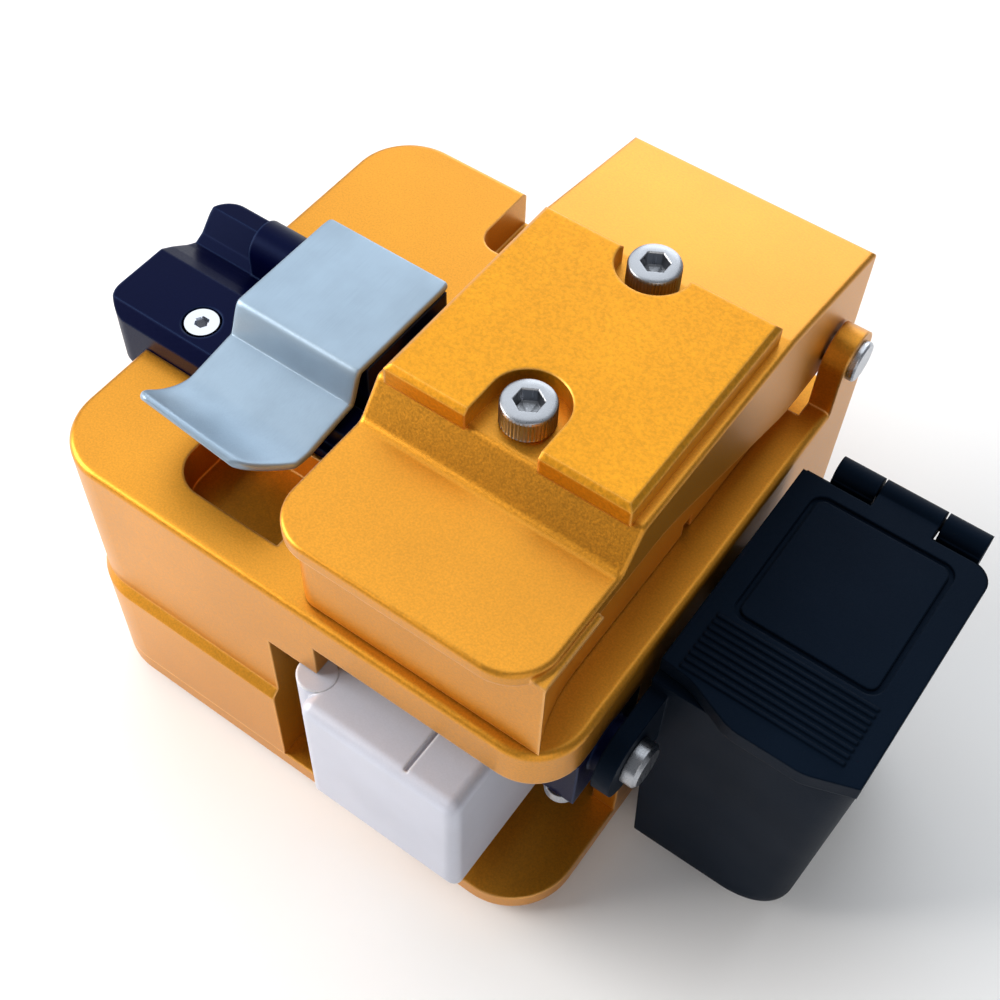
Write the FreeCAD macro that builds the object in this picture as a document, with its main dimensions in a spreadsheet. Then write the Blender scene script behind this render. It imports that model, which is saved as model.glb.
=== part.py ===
import FreeCAD, Part
import math
import os
import types
import Sketcher

# Fibre cleaver: a milled aluminium base with a hinged clamp lid, a spring-returned blade carriage
# that is pushed in at the front, a fibre adapter with its own clamp at the left, and a bin for
# fibre off-cuts at the right.
# Frame: origin on the ground under the middle of the base, +X to the right along the fibre,
# +Y to the back along the blade's travel, +Z up.
# Every sub-part is placed at the deck datum, the front left corner of the deck's top face, so
# the sizes below count from that corner: x to the right, y to the back, z up from the deck.

SIZES = {
    # base housing
    "base_width": 65.0,
    "base_depth": 61.0,
    "base_height": 36.0,
    "left_corner_radius": 7.5,
    "front_right_radius": 6.0,
    "rear_right_radius": 2.0,
    "deck_edge_radius": 0.8,
    "ledge_drop": 21.4,
    "ledge_step": 1.0,
    "flange_thick": 5.5,
    "rear_wall": 5.5,
    "side_wall": 3.0,
    "corner_opening": 16.0,
    "bay_reach": 17.0,
    "bay_low_ceiling": 10.7,
    "bay_step": 10.5,
    "blade_slot_width": 7.0,
    "finger_wall": 1.5,
    "finger_gap": 0.6,
    "finger_width": 14.7,
    "finger_length": 10.6,
    "finger_depth": 5.0,
    "finger_radius": 4.0,
    "recess_side": 13.0,
    "recess_length": 10.3,
    "recess_depth": 5.0,
    "recess_radius": 2.5,
    # bottom plate and pad
    "plate_thick": 3.0,
    "plate_front_right_radius": 8.0,
    "plate_bevel": 0.7,
    "plate_screw_inset": 9.0,
    "plate_screw_bay": 6.0,
    "plate_screw_right": 8.0,
    "pad_thick": 1.5,
    "pad_inset": 5.0,
    "pad_radius": 6.0,
    # lid
    "lid_reach": 14.5,
    "lid_right_gap": 3.0,
    "lip_overhang": 0.6,
    "lip_radius": 5.0,
    "lip_bottom": 12.3,
    "lip_top": 14.0,
    "ridge_reach": 16.5,
    "ridge_run": 3.0,
    "lid_top": 18.0,
    "lid_slope_length": 17.5,
    "lid_rear_top": 15.0,
    "lid_rear_over": 1.0,
    "flank_front_reach": 8.5,
    "flank_rear_reach": 14.0,
    "lid_flank_bottom": 4.0,
    "lid_flank_radius": 18.0,
    "lid_inset_left": 1.1,
    "lid_inset_right": 1.6,
    "lid_block_front": 1.4,
    "lid_gap": 0.3,
    "lid_block_radius": 2.5,
    "cove_width": 2.2,
    "cove_length": 9.0,
    "lid_edge_radius": 0.5,
    "lid_tail_radius": 3.0,
    "lid_wall": 2.8,
    "lid_bay_reach": 17.5,
    "lid_bay_back": 16.0,
    "lid_bay_top": 11.0,
    "fibre_gate": 1.6,
    "fibre_gate_top": 2.1,
    # lid hinge
    "hinge_inset": 5.0,
    "hinge_z": 6.0,
    "hinge_pin_radius": 1.7,
    "hinge_lug_radius": 3.2,
    "hinge_lug_inset": 1.5,
    "hinge_lug_width": 5.2,
    "hinge_lug_clear": 0.8,
    "hinge_head_radius": 2.3,
    "hinge_head_thick": 0.8,
    "snap_ring_radius": 3.0,
    "snap_ring_thick": 0.7,
    # cover plate on the lid and its two screws
    "cover_margin_left": 1.3,
    "cover_margin_right": 1.2,
    "cover_reach": 14.1,
    "cover_back": 12.1,
    "cover_thick": 2.6,
    "cover_notch_radius": 4.0,
    "cover_bevel": 0.55,
    "cap_head_radius": 2.72,
    "cap_head_height": 3.0,
    "cap_shank_radius": 1.5,
    "cap_length": 12.0,
    "cap_socket": 2.5,
    "front_screw_inset": 4.3,
    "rear_screw_inset": 0.7,
    # blade line and lid press gear
    "blade_from_right": 18.0,
    "fibre_height": 1.5,
    "carrier_side": 9.0,
    "carrier_margin": 4.1,
    "carrier_thick": 6.0,
    "yoke_side": 9.3,
    "yoke_length": 7.0,
    "yoke_thick": 2.0,
    "yoke_pin_radius": 1.2,
    "yoke_pin_spread": 6.3,
    "yoke_pin_height": 4.6,
    "yoke_lift": 0.7,
    "press_pad_thick": 0.75,
    "press_spring_radius": 1.9,
    "press_spring_wall": 0.45,
    "anvil_radius": 1.9,
    "anvil_length": 6.0,
    "anvil_tip_radius": 1.6,
    "anvil_tip_thick": 0.8,
    "anvil_rise": 0.2,
    # lower clamps
    "clamp_gap_half": 4.5,
    "clamp_width": 5.6,
    "clamp_length": 11.0,
    "clamp_seat": 2.0,
    "clamp_rise": 1.0,
    "clamp_pad_width": 4.0,
    "clamp_pad_length": 5.0,
    "magnet_radius": 2.5,
    "magnet_thick": 2.0,
    "magnet_offset": 8.0,
    # carriage
    "handle_width": 20.0,
    "handle_clear": 5.0,
    "handle_proud": 4.0,
    "handle_to_blade": 6.5,
    "handle_drop": 11.0,
    "handle_radius": 1.4,
    "handle_line_width": 0.5,
    "handle_line_depth": 0.4,
    "handle_line_offset": 3.0,
    "stub_offset": 10.6,
    "stub_y": 0.2,
    "stub_radius": 2.2,
    "stub_height": 7.0,
    "stub_top": 10.95,
    "slider_left_reach": 8.0,
    "slider_right_reach": 7.5,
    "slider_length": 18.0,
    "slider_floor": 4.0,
    "slider_front_wall": 3.0,
    "slider_wall_top": 12.5,
    "post_length": 11.0,
    "post_top": 8.0,
    "carriage_screw_radius": 1.0,
    "carriage_screw_head": 1.8,
    "rail_width": 5.0,
    "rail_height": 3.6,
    "rail_front": 4.0,
    "rail_groove": 0.5,
    "rail_screw_pitch": 15.0,
    "bearing_width": 12.0,
    "bearing_length": 16.0,
    "bearing_clear": 1.5,
    "bearing_top": 6.0,
    "rail_clear": 0.1,
    # blade
    "blade_radius": 7.25,
    "blade_thick": 1.0,
    "blade_bore": 2.0,
    "blade_bevel": 0.35,
    "blade_reach": 11.0,
    "index_hole_ring": 4.8,
    "index_hole_radius": 0.45,
    "blade_arm_thick": 2.0,
    "blade_arm_radius": 3.4,
    "arm_foot": 2.25,
    "blade_screw_head": 2.9,
    "blade_screw_thick": 1.9,
    "height_screw_radius": 0.9,
    # return spring
    "spring_offset": 13.4,
    "spring_height": 16.0,
    "spring_radius": 1.8,
    "spring_wall": 0.45,
    "spring_rod_radius": 0.8,
    "spring_rod_reach": 5.0,
    "spring_rod_hold": 3.0,
    "spring_tab_side": 2.2,
    "spring_tab_rise": 2.6,
    # adapter and its clamp
    "adapter_left": 5.5,
    "adapter_gap": 3.5,
    "adapter_reach": 14.5,
    "adapter_back": 5.5,
    "adapter_seat": 2.0,
    "adapter_floor": 1.0,
    "adapter_top": 4.0,
    "adapter_lip": 4.5,
    "head_gap": 1.0,
    "adapter_bar": 5.0,
    "adapter_radius": 3.0,
    "groove_half": 3.4,
    "groove_flat": 1.2,
    "clamp_hinge_back": 2.7,
    "clamp_hinge_z": 3.8,
    "clamp_ear_radius": 2.8,
    "clamp_ear_left": 3.0,
    "clamp_pin_radius": 1.0,
    "clamp_left": 10.3,
    "clamp_margin": 2.4,
    "clamp_reach": 8.2,
    "clamp_rear_reach": 5.1,
    "clamp_top": 9.0,
    "clamp_lift": 0.2,
    "keeper_radius": 2.0,
    "keeper_thick": 1.0,
    "keeper_reach": 5.8,
    "clamp_pad_inset": 1.5,
    "clamp_pad_depth": 3.0,
    "lever_thick": 0.9,
    "lever_overhang": 0.7,
    "lever_lead": 0.8,
    "lever_ramp": 2.2,
    "lever_low": 5.3,
    "lever_flat": 7.3,
    "lever_curl": 5.7,
    "lever_tip_rise": 3.2,
    "lever_flare": 2.3,
    "lever_bend_radius": 1.2,
    "adapter_screw_x": 5.4,
    "adapter_screw_inset": 4.1,
    "adapter_screw_right": 6.6,
    "adapter_screw_step": 1.6,
    "adapter_screw_head": 1.9,
    "adapter_screw_shank": 1.0,
    "adapter_screw_length": 7.0,
    # bin
    "bin_left_gap": 1.2,
    "bin_reach": 23.0,
    "bin_lead": 0.5,
    "bin_back": 14.5,
    "bin_depth_below": 2.0,
    "bin_draft": 2.0,
    "bin_wall": 1.6,
    "bin_radius": 2.5,
    "bin_foot_radius": 7.0,
    "door_thick": 2.0,
    "door_gap": 0.2,
    "door_tongue": 1.3,
    "door_bend_radius": 5.0,
    "door_panel_left": 2.6,
    "door_panel_front": 9.5,
    "door_panel_right": 3.0,
    "door_panel_rear": 3.5,
    "door_panel_depth": 0.4,
    "door_panel_line": 0.6,
    "door_panel_radius": 1.6,
    "rib_count": 9,
    "rib_pitch": 0.85,
    "rib_width": 0.4,
    "rib_height": 0.2,
    "knuckle_radius": 1.5,
    "knuckle_width": 4.8,
    "knuckle_left": 2.8,
    "knuckle_right": 2.0,
    "knuckle_offset": 1.2,
    "door_pin_radius": 0.75,
    "plate_screw_length": 6.0,
    "screw_head_thick": 1.4,
    "bin_pivot_y": 10.0,
    "bin_pivot_z": 8.0,
    "bin_ear_radius": 4.4,
    "bin_ear_thick": 2.0,
    "bin_pin_radius": 1.7,
    "bin_pin_head": 2.5,
    "bin_pin_head_thick": 1.7,
    "bracket_width": 4.5,
    "bracket_front": 5.0,
    "bracket_drop": 8.5,
    "rest_pin_inset": 6.5,
    "rest_pin_z": 20.0,
    "rest_pin_radius": 1.5,
    # fits
    "running_clear": 0.04,
    "screw_clear": 0.03,
    "seat_clear": 0.1,
    "moving_clear": 0.35,
}


class Size:
    """A length that carries both its value and the sheet expression that it is bound to."""

    def __init__(self, value, text):
        self.value = value
        self.text = text

    def joined(self, other, sign, value):
        return Size(value, "(%s %s %s)" % (self.text, sign, other.text))

    def __add__(self, other):
        other = as_size(other)
        return self.joined(other, "+", self.value + other.value)

    def __sub__(self, other):
        other = as_size(other)
        return self.joined(other, "-", self.value - other.value)

    def __mul__(self, other):
        other = as_size(other)
        return self.joined(other, "*", self.value * other.value)

    def __truediv__(self, other):
        other = as_size(other)
        return self.joined(other, "/", self.value / other.value)

    def __neg__(self):
        return as_size(0) - self

    __radd__ = __add__

    def __rsub__(self, other):
        return as_size(other) - self

    def __rmul__(self, other):
        return as_size(other) * self


def as_size(item):
    if isinstance(item, Size):
        return item
    return Size(float(item), repr(float(item)))


document = FreeCAD.newDocument("fibre_cleaver")
sheet = document.addObject("Spreadsheet::Sheet", "sizes")
for row, (alias, number) in enumerate(SIZES.items(), start=1):
    sheet.set("A%d" % row, alias)
    sheet.set("B%d" % row, str(number))
    sheet.setAlias("B%d" % row, alias)
document.recompute()
dim = types.SimpleNamespace(**{alias: Size(float(n), "sizes." + alias) for alias, n in SIZES.items()})

# Places that follow from the sizes: the blade line and the fibre line carry the rest.
fibre_y = dim.base_depth / 2
ground = dim.base_height + dim.plate_thick + dim.pad_thick
lid_right = dim.base_width - dim.lid_right_gap
lid_rear = dim.base_depth + dim.lid_rear_over
bay_right = dim.base_width - dim.side_wall
bay_rear = dim.base_depth - dim.rear_wall
lug_inner = lid_right + dim.lid_gap
blade_z = dim.fibre_height - dim.blade_radius
hinge_bore = dim.hinge_pin_radius + dim.running_clear
dim.blade_x = dim.base_width - dim.blade_from_right
dim.blade_start_y = fibre_y - dim.blade_reach
dim.bay_left = dim.blade_x - dim.bay_reach
dim.bay_step_x = dim.blade_x - dim.bay_step
dim.lid_left = dim.blade_x - dim.lid_reach
dim.hinge_lug_left = dim.lid_left + dim.hinge_lug_inset
dim.hinge_y = dim.base_depth - dim.hinge_inset
dim.recess_left = dim.lid_left - dim.recess_side
dim.recess_front = dim.base_depth - dim.recess_length
dim.ridge_foot = fibre_y - dim.ridge_reach
dim.ridge_crest = dim.ridge_foot + dim.ridge_run
dim.lid_rear_break = dim.base_depth - dim.lid_slope_length
dim.lid_flank_front = fibre_y - dim.flank_front_reach
dim.lid_flank_rear = dim.base_depth - dim.flank_rear_reach
dim.lid_bay_front = fibre_y - dim.lid_bay_reach
dim.lid_bay_rear = fibre_y + dim.lid_bay_back
dim.cover_left = dim.lid_left + dim.cover_margin_left
dim.cover_right = lid_right - dim.cover_margin_right
dim.cover_front = fibre_y - dim.cover_reach
dim.cover_rear = fibre_y + dim.cover_back
dim.front_screw_y = dim.cover_front + dim.front_screw_inset
dim.rear_screw_y = dim.cover_rear - dim.rear_screw_inset
dim.carrier_front = dim.front_screw_y - dim.carrier_margin
dim.carrier_rear = dim.rear_screw_y + dim.carrier_margin
dim.magnet_x = dim.blade_x + dim.magnet_offset
dim.magnet_y = (dim.lid_block_front + dim.lid_bay_front) / 2
dim.handle_rear = dim.blade_start_y - dim.handle_to_blade
dim.handle_height = dim.base_height - dim.handle_drop - dim.handle_clear
dim.stub_x = dim.blade_x - dim.stub_offset
dim.slider_left = dim.blade_x - dim.slider_left_reach
dim.slider_right = dim.blade_x + dim.slider_right_reach
dim.spring_x = dim.blade_x - dim.spring_offset
dim.spring_drop = dim.base_height - dim.spring_height
dim.spring_tab_left = dim.spring_x - dim.spring_tab_side
dim.spring_tab_top = dim.spring_drop - dim.spring_tab_rise
dim.spring_rod_front = dim.handle_rear - dim.spring_rod_reach
dim.adapter_right = dim.lid_left - dim.adapter_gap
dim.adapter_front = fibre_y - dim.adapter_reach
dim.adapter_rear = fibre_y + dim.adapter_back
dim.adapter_bar_rear = dim.adapter_front + dim.adapter_bar
dim.adapter_head_right = dim.clamp_left - dim.head_gap
dim.adapter_screw_y = dim.adapter_front + dim.adapter_screw_inset
dim.clamp_hinge_y = fibre_y + dim.clamp_hinge_back
dim.clamp_right = dim.adapter_right - dim.clamp_margin
dim.clamp_front = fibre_y - dim.clamp_reach
dim.clamp_back = fibre_y + dim.clamp_rear_reach
dim.keeper_x = (dim.clamp_left + dim.clamp_right) / 2
dim.keeper_y = fibre_y - dim.keeper_reach
dim.lever_rear = dim.clamp_back + dim.lever_overhang
dim.lever_bend = dim.clamp_front - dim.lever_lead
dim.lever_step = dim.lever_bend - dim.lever_ramp
dim.lever_front_bend = dim.lever_step - dim.lever_flat
dim.lever_tip = dim.lever_front_bend - dim.lever_curl
dim.finger_left = dim.bay_left - dim.finger_wall - dim.finger_width
dim.finger_front = dim.adapter_front - dim.finger_gap - dim.finger_length
dim.bin_right = dim.base_width + dim.bin_reach
dim.bin_front = dim.corner_opening - dim.bin_lead
dim.bin_rear = dim.base_depth - dim.bin_back
dim.bin_height = dim.base_height + dim.bin_depth_below
dim.rest_pin_y = dim.bin_rear - dim.rest_pin_inset
dim.bin_width = dim.bin_right - dim.base_width - dim.bin_left_gap
dim.door_panel_width = dim.bin_width - dim.door_panel_left - dim.door_panel_right
dim.door_panel_length = dim.bin_rear - dim.door_panel_rear - dim.bin_front - dim.door_panel_front

# How far the middle of a quarter arc stands off its chord, for a radius of one.
FLAT = 1 - math.sqrt(0.5)

PARTS = []


def bind(item, path, size):
    item.setExpression(path, as_size(size).text)


def new_body(label):
    """An empty body placed at the deck datum and kept for export under its label."""
    body = document.addObject("PartDesign::Body", label)
    body.Label = label
    place_at_datum(body)
    PARTS.append(body)
    return body


def place_at_datum(item):
    bind(item, ".Placement.Base.x", -dim.base_width / 2)
    bind(item, ".Placement.Base.y", -dim.base_depth / 2)
    bind(item, ".Placement.Base.z", ground)


def new_sketch(body, plane, level):
    """A sketch on the body's own XY, XZ or YZ plane, moved along its normal to the level."""
    support = next(f for f in body.Origin.OriginFeatures if f.Role == plane + "_Plane")
    sketch = body.newObject("Sketcher::SketchObject", "Sketch")
    sketch.AttachmentSupport = [(support, "")]
    sketch.MapMode = "FlatFace"
    bind(sketch, ".AttachmentOffset.Base.z", level)
    return sketch


def hold_point(sketch, geometry, point, place):
    """Binds one point of the sketch to its two distances from the datum."""
    for kind, size in (("DistanceX", place[0]), ("DistanceY", place[1])):
        index = sketch.addConstraint(Sketcher.Constraint(kind, -1, 1, geometry, point, size.value))
        bind(sketch, "Constraints[%d]" % index, size)


def draw_outline(sketch, points):
    """Closed outline of straight runs; a point written (x, y, bulge) ends an arc whose middle
    stands off its chord by the bulge, to the left of the way it is drawn."""
    corners = [(as_size(p[0]), as_size(p[1])) for p in points]
    vectors = [FreeCAD.Vector(x.value, y.value, 0) for x, y in corners]
    count = len(points)
    for i in range(count):
        start, end = vectors[i], vectors[(i + 1) % count]
        arrival = points[(i + 1) % count]
        if len(arrival) == 3:
            bulge = as_size(arrival[2])
            chord = end - start
            left = FreeCAD.Vector(-chord.y, chord.x, 0).normalize()
            middle = (start + end) * 0.5 + left * bulge.value
            sketch.addGeometry(Part.Arc(start, middle, end), False)
        else:
            sketch.addGeometry(Part.LineSegment(start, end), False)
    starts = [start_point(sketch.Geometry[i], vectors[i]) for i in range(count)]
    for i in range(count):
        following = (i + 1) % count
        end = 1 if starts[i] == 2 else 2
        sketch.addConstraint(Sketcher.Constraint("Coincident", i, end, following, starts[following]))
        hold_point(sketch, i, starts[i], corners[i])
        arrival = points[following]
        if len(arrival) == 3:
            radius = sketch.Geometry[i].Radius
            index = sketch.addConstraint(Sketcher.Constraint("Radius", i, radius))
            bind(sketch, "Constraints[%d]" % index, arc_radius(corners[i], corners[following], arrival[2]))


def start_point(curve, vector):
    """Which end of the curve, 1 or 2, lies at the vector: arcs are always kept anticlockwise."""
    if isinstance(curve, Part.ArcOfCircle) and curve.StartPoint.distanceToPoint(vector) > 1e-6:
        return 2
    return 1


def arc_radius(start, end, bulge):
    """Radius of an arc from half its chord and the bulge."""
    bulge = as_size(bulge)
    across = end[0] - start[0]
    along = end[1] - start[1]
    quarter = (across * across + along * along) / 4
    rise = Size(abs(bulge.value), "abs(%s)" % bulge.text)
    return (quarter + rise * rise) / (2 * rise)


def box_points(x_low, x_high, y_low, y_high):
    return [(x_low, y_low), (x_high, y_low), (x_high, y_high), (x_low, y_high)]


def rounded_box(x_low, x_high, y_low, y_high, radii):
    """A rectangle with its own corner radii, in the order front left, front right, rear right, rear left."""
    front_left, front_right, rear_right, rear_left = [as_size(radius) for radius in radii]
    return [
        (x_low + front_left, y_low, -FLAT * front_left), (x_high - front_right, y_low),
        (x_high, y_low + front_right, -FLAT * front_right), (x_high, y_high - rear_right),
        (x_high - rear_right, y_high, -FLAT * rear_right), (x_low + rear_left, y_high),
        (x_low, y_high - rear_left, -FLAT * rear_left), (x_low, y_low + front_left)]


def dome(first, second, radius):
    """The upper half of a circle, drawn from its right end to its left end."""
    return [(first + radius, second), (first, second + radius, -FLAT * radius),
            (first - radius, second, -FLAT * radius)]


def add_loft(body, low, high, lower_points, upper_points):
    lower = new_sketch(body, "XY", low)
    draw_outline(lower, lower_points)
    upper = new_sketch(body, "XY", high)
    draw_outline(upper, upper_points)
    return finish_loft(body, "PartDesign::AdditiveLoft", lower, upper)


def finish_loft(body, kind, lower, upper):
    loft = body.newObject(kind, "Loft")
    loft.Profile = lower
    loft.Sections = [upper]
    loft.Ruled = True
    document.recompute()
    return loft


def sketch_level(plane, low, high):
    """The XZ plane faces the front, so its sketches start from the far end of their span."""
    return -high if plane == "XZ" else low


def add_prism(body, plane, low, high, points):
    low, high = as_size(low), as_size(high)
    sketch = new_sketch(body, plane, sketch_level(plane, low, high))
    draw_outline(sketch, points)
    return finish_pad(body, sketch, high - low)


def cut_prism(body, plane, low, high, points):
    low, high = as_size(low), as_size(high)
    sketch = new_sketch(body, plane, sketch_level(plane, low, high))
    draw_outline(sketch, points)
    return finish_pocket(body, sketch, high - low)


def add_round(body, plane, low, high, centre, radius):
    low, high = as_size(low), as_size(high)
    sketch = new_sketch(body, plane, sketch_level(plane, low, high))
    draw_circle(sketch, centre, radius)
    return finish_pad(body, sketch, high - low)


def cut_round(body, plane, low, high, centre, radius):
    low, high = as_size(low), as_size(high)
    sketch = new_sketch(body, plane, sketch_level(plane, low, high))
    draw_circle(sketch, centre, radius)
    return finish_pocket(body, sketch, high - low)


def draw_circle(sketch, centre, radius):
    x, y = as_size(centre[0]), as_size(centre[1])
    radius = as_size(radius)
    middle = FreeCAD.Vector(x.value, y.value, 0)
    circle = sketch.addGeometry(Part.Circle(middle, FreeCAD.Vector(0, 0, 1), radius.value), False)
    hold_point(sketch, circle, 3, (x, y))
    index = sketch.addConstraint(Sketcher.Constraint("Radius", circle, radius.value))
    bind(sketch, "Constraints[%d]" % index, radius)


def finish_pad(body, sketch, length):
    pad = body.newObject("PartDesign::Pad", "Pad")
    pad.Profile = sketch
    bind(pad, "Length", length)
    return pad


def finish_pocket(body, sketch, length):
    """A pocket that cuts along the sketch's normal, checked to take material away."""
    document.recompute()
    before = body.Tip.Shape.Volume
    pocket = body.newObject("PartDesign::Pocket", "Pocket")
    pocket.Profile = sketch
    pocket.Reversed = True
    bind(pocket, "Length", length)
    document.recompute()
    if not pocket.Shape.Volume < before - 1e-6:
        raise ValueError("a pocket of %s cuts nothing" % body.Label)
    return pocket


def edges_at(body, x=None, y=None, z=None, test=None):
    """Names of the tip's edges that lie wholly at the given places, within the optional test."""
    document.recompute()
    given = (("X", x), ("Y", y), ("Z", z))
    wanted = [(axis, as_size(size).value) for axis, size in given if size is not None]
    names = []
    for number, edge in enumerate(body.Tip.Shape.Edges, start=1):
        box = edge.BoundBox
        held = all(
            abs(getattr(box, axis + "Min") - place) < 0.01 and abs(getattr(box, axis + "Max") - place) < 0.01
            for axis, place in wanted
        )
        if held and (test is None or test(box)):
            names.append("Edge%d" % number)
    if not names:
        raise ValueError("no edge of %s at %s" % (body.Label, wanted))
    return names


def round_edges(body, radius, names):
    base = body.Tip
    fillet = body.newObject("PartDesign::Fillet", "Fillet")
    fillet.Base = (base, names)
    bind(fillet, "Radius", radius)
    document.recompute()
    return fillet


def bevel_edges(body, size, names):
    base = body.Tip
    chamfer = body.newObject("PartDesign::Chamfer", "Chamfer")
    chamfer.Base = (base, names)
    bind(chamfer, "Size", size)
    document.recompute()
    return chamfer


def turned(body, centre, axis, profile):
    """A solid of revolution: the profile gives (along the axis, radius) pairs and closes on the axis."""
    plane = {"X": "XZ", "Z": "XZ", "Y": "YZ"}[axis]
    along_first = axis != "Z"
    level = {"X": -as_size(centre[1]), "Z": -as_size(centre[1]), "Y": as_size(centre[0])}[axis]
    sketch = new_sketch(body, plane, level)
    base = {"X": centre[2], "Z": centre[0], "Y": centre[2]}[axis]
    points = []
    for along, radius in profile:
        reach = as_size(base) + radius
        points.append((along, reach) if along_first else (reach, along))
    draw_outline(sketch, points)
    revolution = body.newObject("PartDesign::Revolution", "Revolution")
    revolution.Profile = sketch
    last = len(points) - 1
    revolution.ReferenceAxis = (sketch, ["Edge%d" % (last + 1)])
    revolution.Angle = 360
    return revolution


def cylinder(label, axis, low, high, centre, radius):
    """A plain round pin along one axis; centre gives the other two places in X, Y, Z order."""
    item = document.addObject("Part::Cylinder", label)
    item.Label = label
    length = as_size(high) - low
    bind(item, "Height", length)
    bind(item, "Radius", radius)
    place_cylinder(item, axis, low, centre)
    PARTS.append(item)
    return item


def place_cylinder(item, axis, low, centre):
    first, second = as_size(centre[0]), as_size(centre[1])
    low = as_size(low)
    places = {"X": (low, first, second), "Y": (first, low, second), "Z": (first, second, low)}[axis]
    turns = {
        "X": FreeCAD.Rotation(FreeCAD.Vector(0, 1, 0), 90),
        "Y": FreeCAD.Rotation(FreeCAD.Vector(1, 0, 0), -90),
        "Z": FreeCAD.Rotation(),
    }
    item.Placement = FreeCAD.Placement(FreeCAD.Vector(), turns[axis])
    bind(item, ".Placement.Base.x", places[0] - dim.base_width / 2)
    bind(item, ".Placement.Base.y", places[1] - dim.base_depth / 2)
    bind(item, ".Placement.Base.z", places[2] + ground)


def sleeve(label, axis, low, high, centre, radius, wall):
    """A tube, which stands for a close-wound coil spring."""
    outer = document.addObject("Part::Cylinder", label + "_outer")
    inner = document.addObject("Part::Cylinder", label + "_inner")
    for item, size in ((outer, radius), (inner, radius - wall)):
        bind(item, "Height", as_size(high) - low)
        bind(item, "Radius", size)
        place_cylinder(item, axis, low, centre)
    tube = document.addObject("Part::Cut", label)
    tube.Label = label
    tube.Base = outer
    tube.Tool = inner
    PARTS.append(tube)
    return tube


def base_housing():
    body = new_body("base_housing")
    width, depth, height = dim.base_width, dim.base_depth, dim.base_height
    left, right, rear = dim.left_corner_radius, dim.front_right_radius, dim.rear_right_radius
    step = dim.ledge_step
    skirt_front = -step
    upper = rounded_box(0, width, 0, depth, (left, right, rear, left))
    skirt = rounded_box(0, width, skirt_front, depth, (left + step, right + step, rear, left))
    add_prism(body, "XY", -height, 0, upper)
    add_prism(body, "XY", -height, -dim.ledge_drop - step, skirt)
    add_loft(body, -dim.ledge_drop - step, -dim.ledge_drop, skirt, upper)
    round_edges(body, dim.deck_edge_radius, edges_at(body, z=0))
    # bay for the carriage, open at the front and at the front right corner
    front = skirt_front - 1
    cut_prism(body, "XY", -height, -dim.bay_low_ceiling, box_points(dim.bay_left, bay_right, front, bay_rear))
    slot_rear = dim.base_depth - dim.blade_start_y + dim.blade_radius + 0.75
    high_bay = box_points(dim.bay_step_x, bay_right, front, slot_rear)
    cut_prism(body, "XY", -dim.bay_low_ceiling, -dim.flange_thick, high_bay)
    corner = box_points(bay_right - 1, width + 1, front, dim.corner_opening)
    cut_prism(body, "XY", -height, -dim.flange_thick, corner)
    half = dim.blade_slot_width / 2
    slot_front = dim.blade_start_y - dim.blade_radius - 0.75
    slot = box_points(dim.blade_x - half, dim.blade_x + half, slot_front, slot_rear)
    cut_prism(body, "XY", -dim.flange_thick, 0, slot)
    # recess behind the lid that its tail turns down into
    recess = box_points(dim.recess_left, lug_inner, dim.recess_front, depth + 1)
    cut_prism(body, "XY", -dim.recess_depth, 0, recess)
    round_edges(body, dim.recess_radius, edges_at(body, x=dim.recess_left, y=dim.recess_front))
    # finger recess in front of the adapter clamp
    finger_right = dim.finger_left + dim.finger_width
    finger_rear = dim.finger_front + dim.finger_length
    cut_prism(body, "XY", -dim.finger_depth, 0,
              box_points(dim.finger_left, finger_right, dim.finger_front, finger_rear))
    round_edges(body, dim.finger_radius, edges_at(body, x=dim.finger_left, y=dim.finger_front))
    seat_gap = dim.seat_clear
    seat = box_points(-1, dim.adapter_right + seat_gap, dim.adapter_front - seat_gap,
                      dim.adapter_rear + seat_gap)
    cut_prism(body, "XY", -dim.adapter_seat, 0, seat)
    for side in (-1, 1):
        near = dim.blade_x + side * dim.clamp_gap_half
        far = dim.blade_x + side * (dim.clamp_gap_half + dim.clamp_width)
        low, high = (far, near) if side < 0 else (near, far)
        pocket = box_points(low, high, fibre_y - dim.clamp_length / 2, fibre_y + dim.clamp_length / 2)
        cut_prism(body, "XY", -dim.clamp_seat, 0, pocket)
    # hinge lugs
    lug_left, lug_right = dim.hinge_lug_left, dim.hinge_lug_left + dim.hinge_lug_width
    for low, high, foot in ((lug_inner, width, -1), (lug_left, lug_right, -dim.recess_depth)):
        radius = dim.hinge_lug_radius
        y_low, y_high = dim.hinge_y - radius, dim.hinge_y + radius
        add_prism(body, "YZ", low, high,
                  [(y_low, foot), (y_high, foot)] + dome(dim.hinge_y, dim.hinge_z, radius))
    cut_round(body, "YZ", dim.hinge_lug_left - 1, width + 1, (dim.hinge_y, dim.hinge_z),
              dim.hinge_pin_radius + dim.screw_clear)
    # holes for the magnet, spring post, pins and screws
    cut_round(body, "XY", -dim.magnet_thick, 0, (dim.magnet_x, dim.magnet_y),
              dim.magnet_radius + dim.screw_clear)
    cut_round(body, "XZ", bay_rear - 1, bay_rear + dim.spring_rod_hold, (dim.spring_x, -dim.spring_drop),
              dim.spring_rod_radius + dim.screw_clear)
    cut_round(body, "YZ", bay_right - 1, width + 1, (dim.rest_pin_y, -dim.rest_pin_z),
              dim.rest_pin_radius + dim.screw_clear)
    for x, y in adapter_screw_places():
        cut_round(body, "XY", -dim.adapter_screw_length, 0, (x, y), dim.adapter_screw_shank + dim.screw_clear)
    for x, y in bracket_screw_places():
        cut_round(body, "XY", -dim.flange_thick - 1, -1.5, (x, y),
                  dim.carriage_screw_radius + dim.screw_clear)
    for x, y in cover_screw_places():
        cut_round(body, "XY", -dim.base_height, 6 - dim.base_height, (x, y),
                  dim.carriage_screw_radius + dim.screw_clear)


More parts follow.
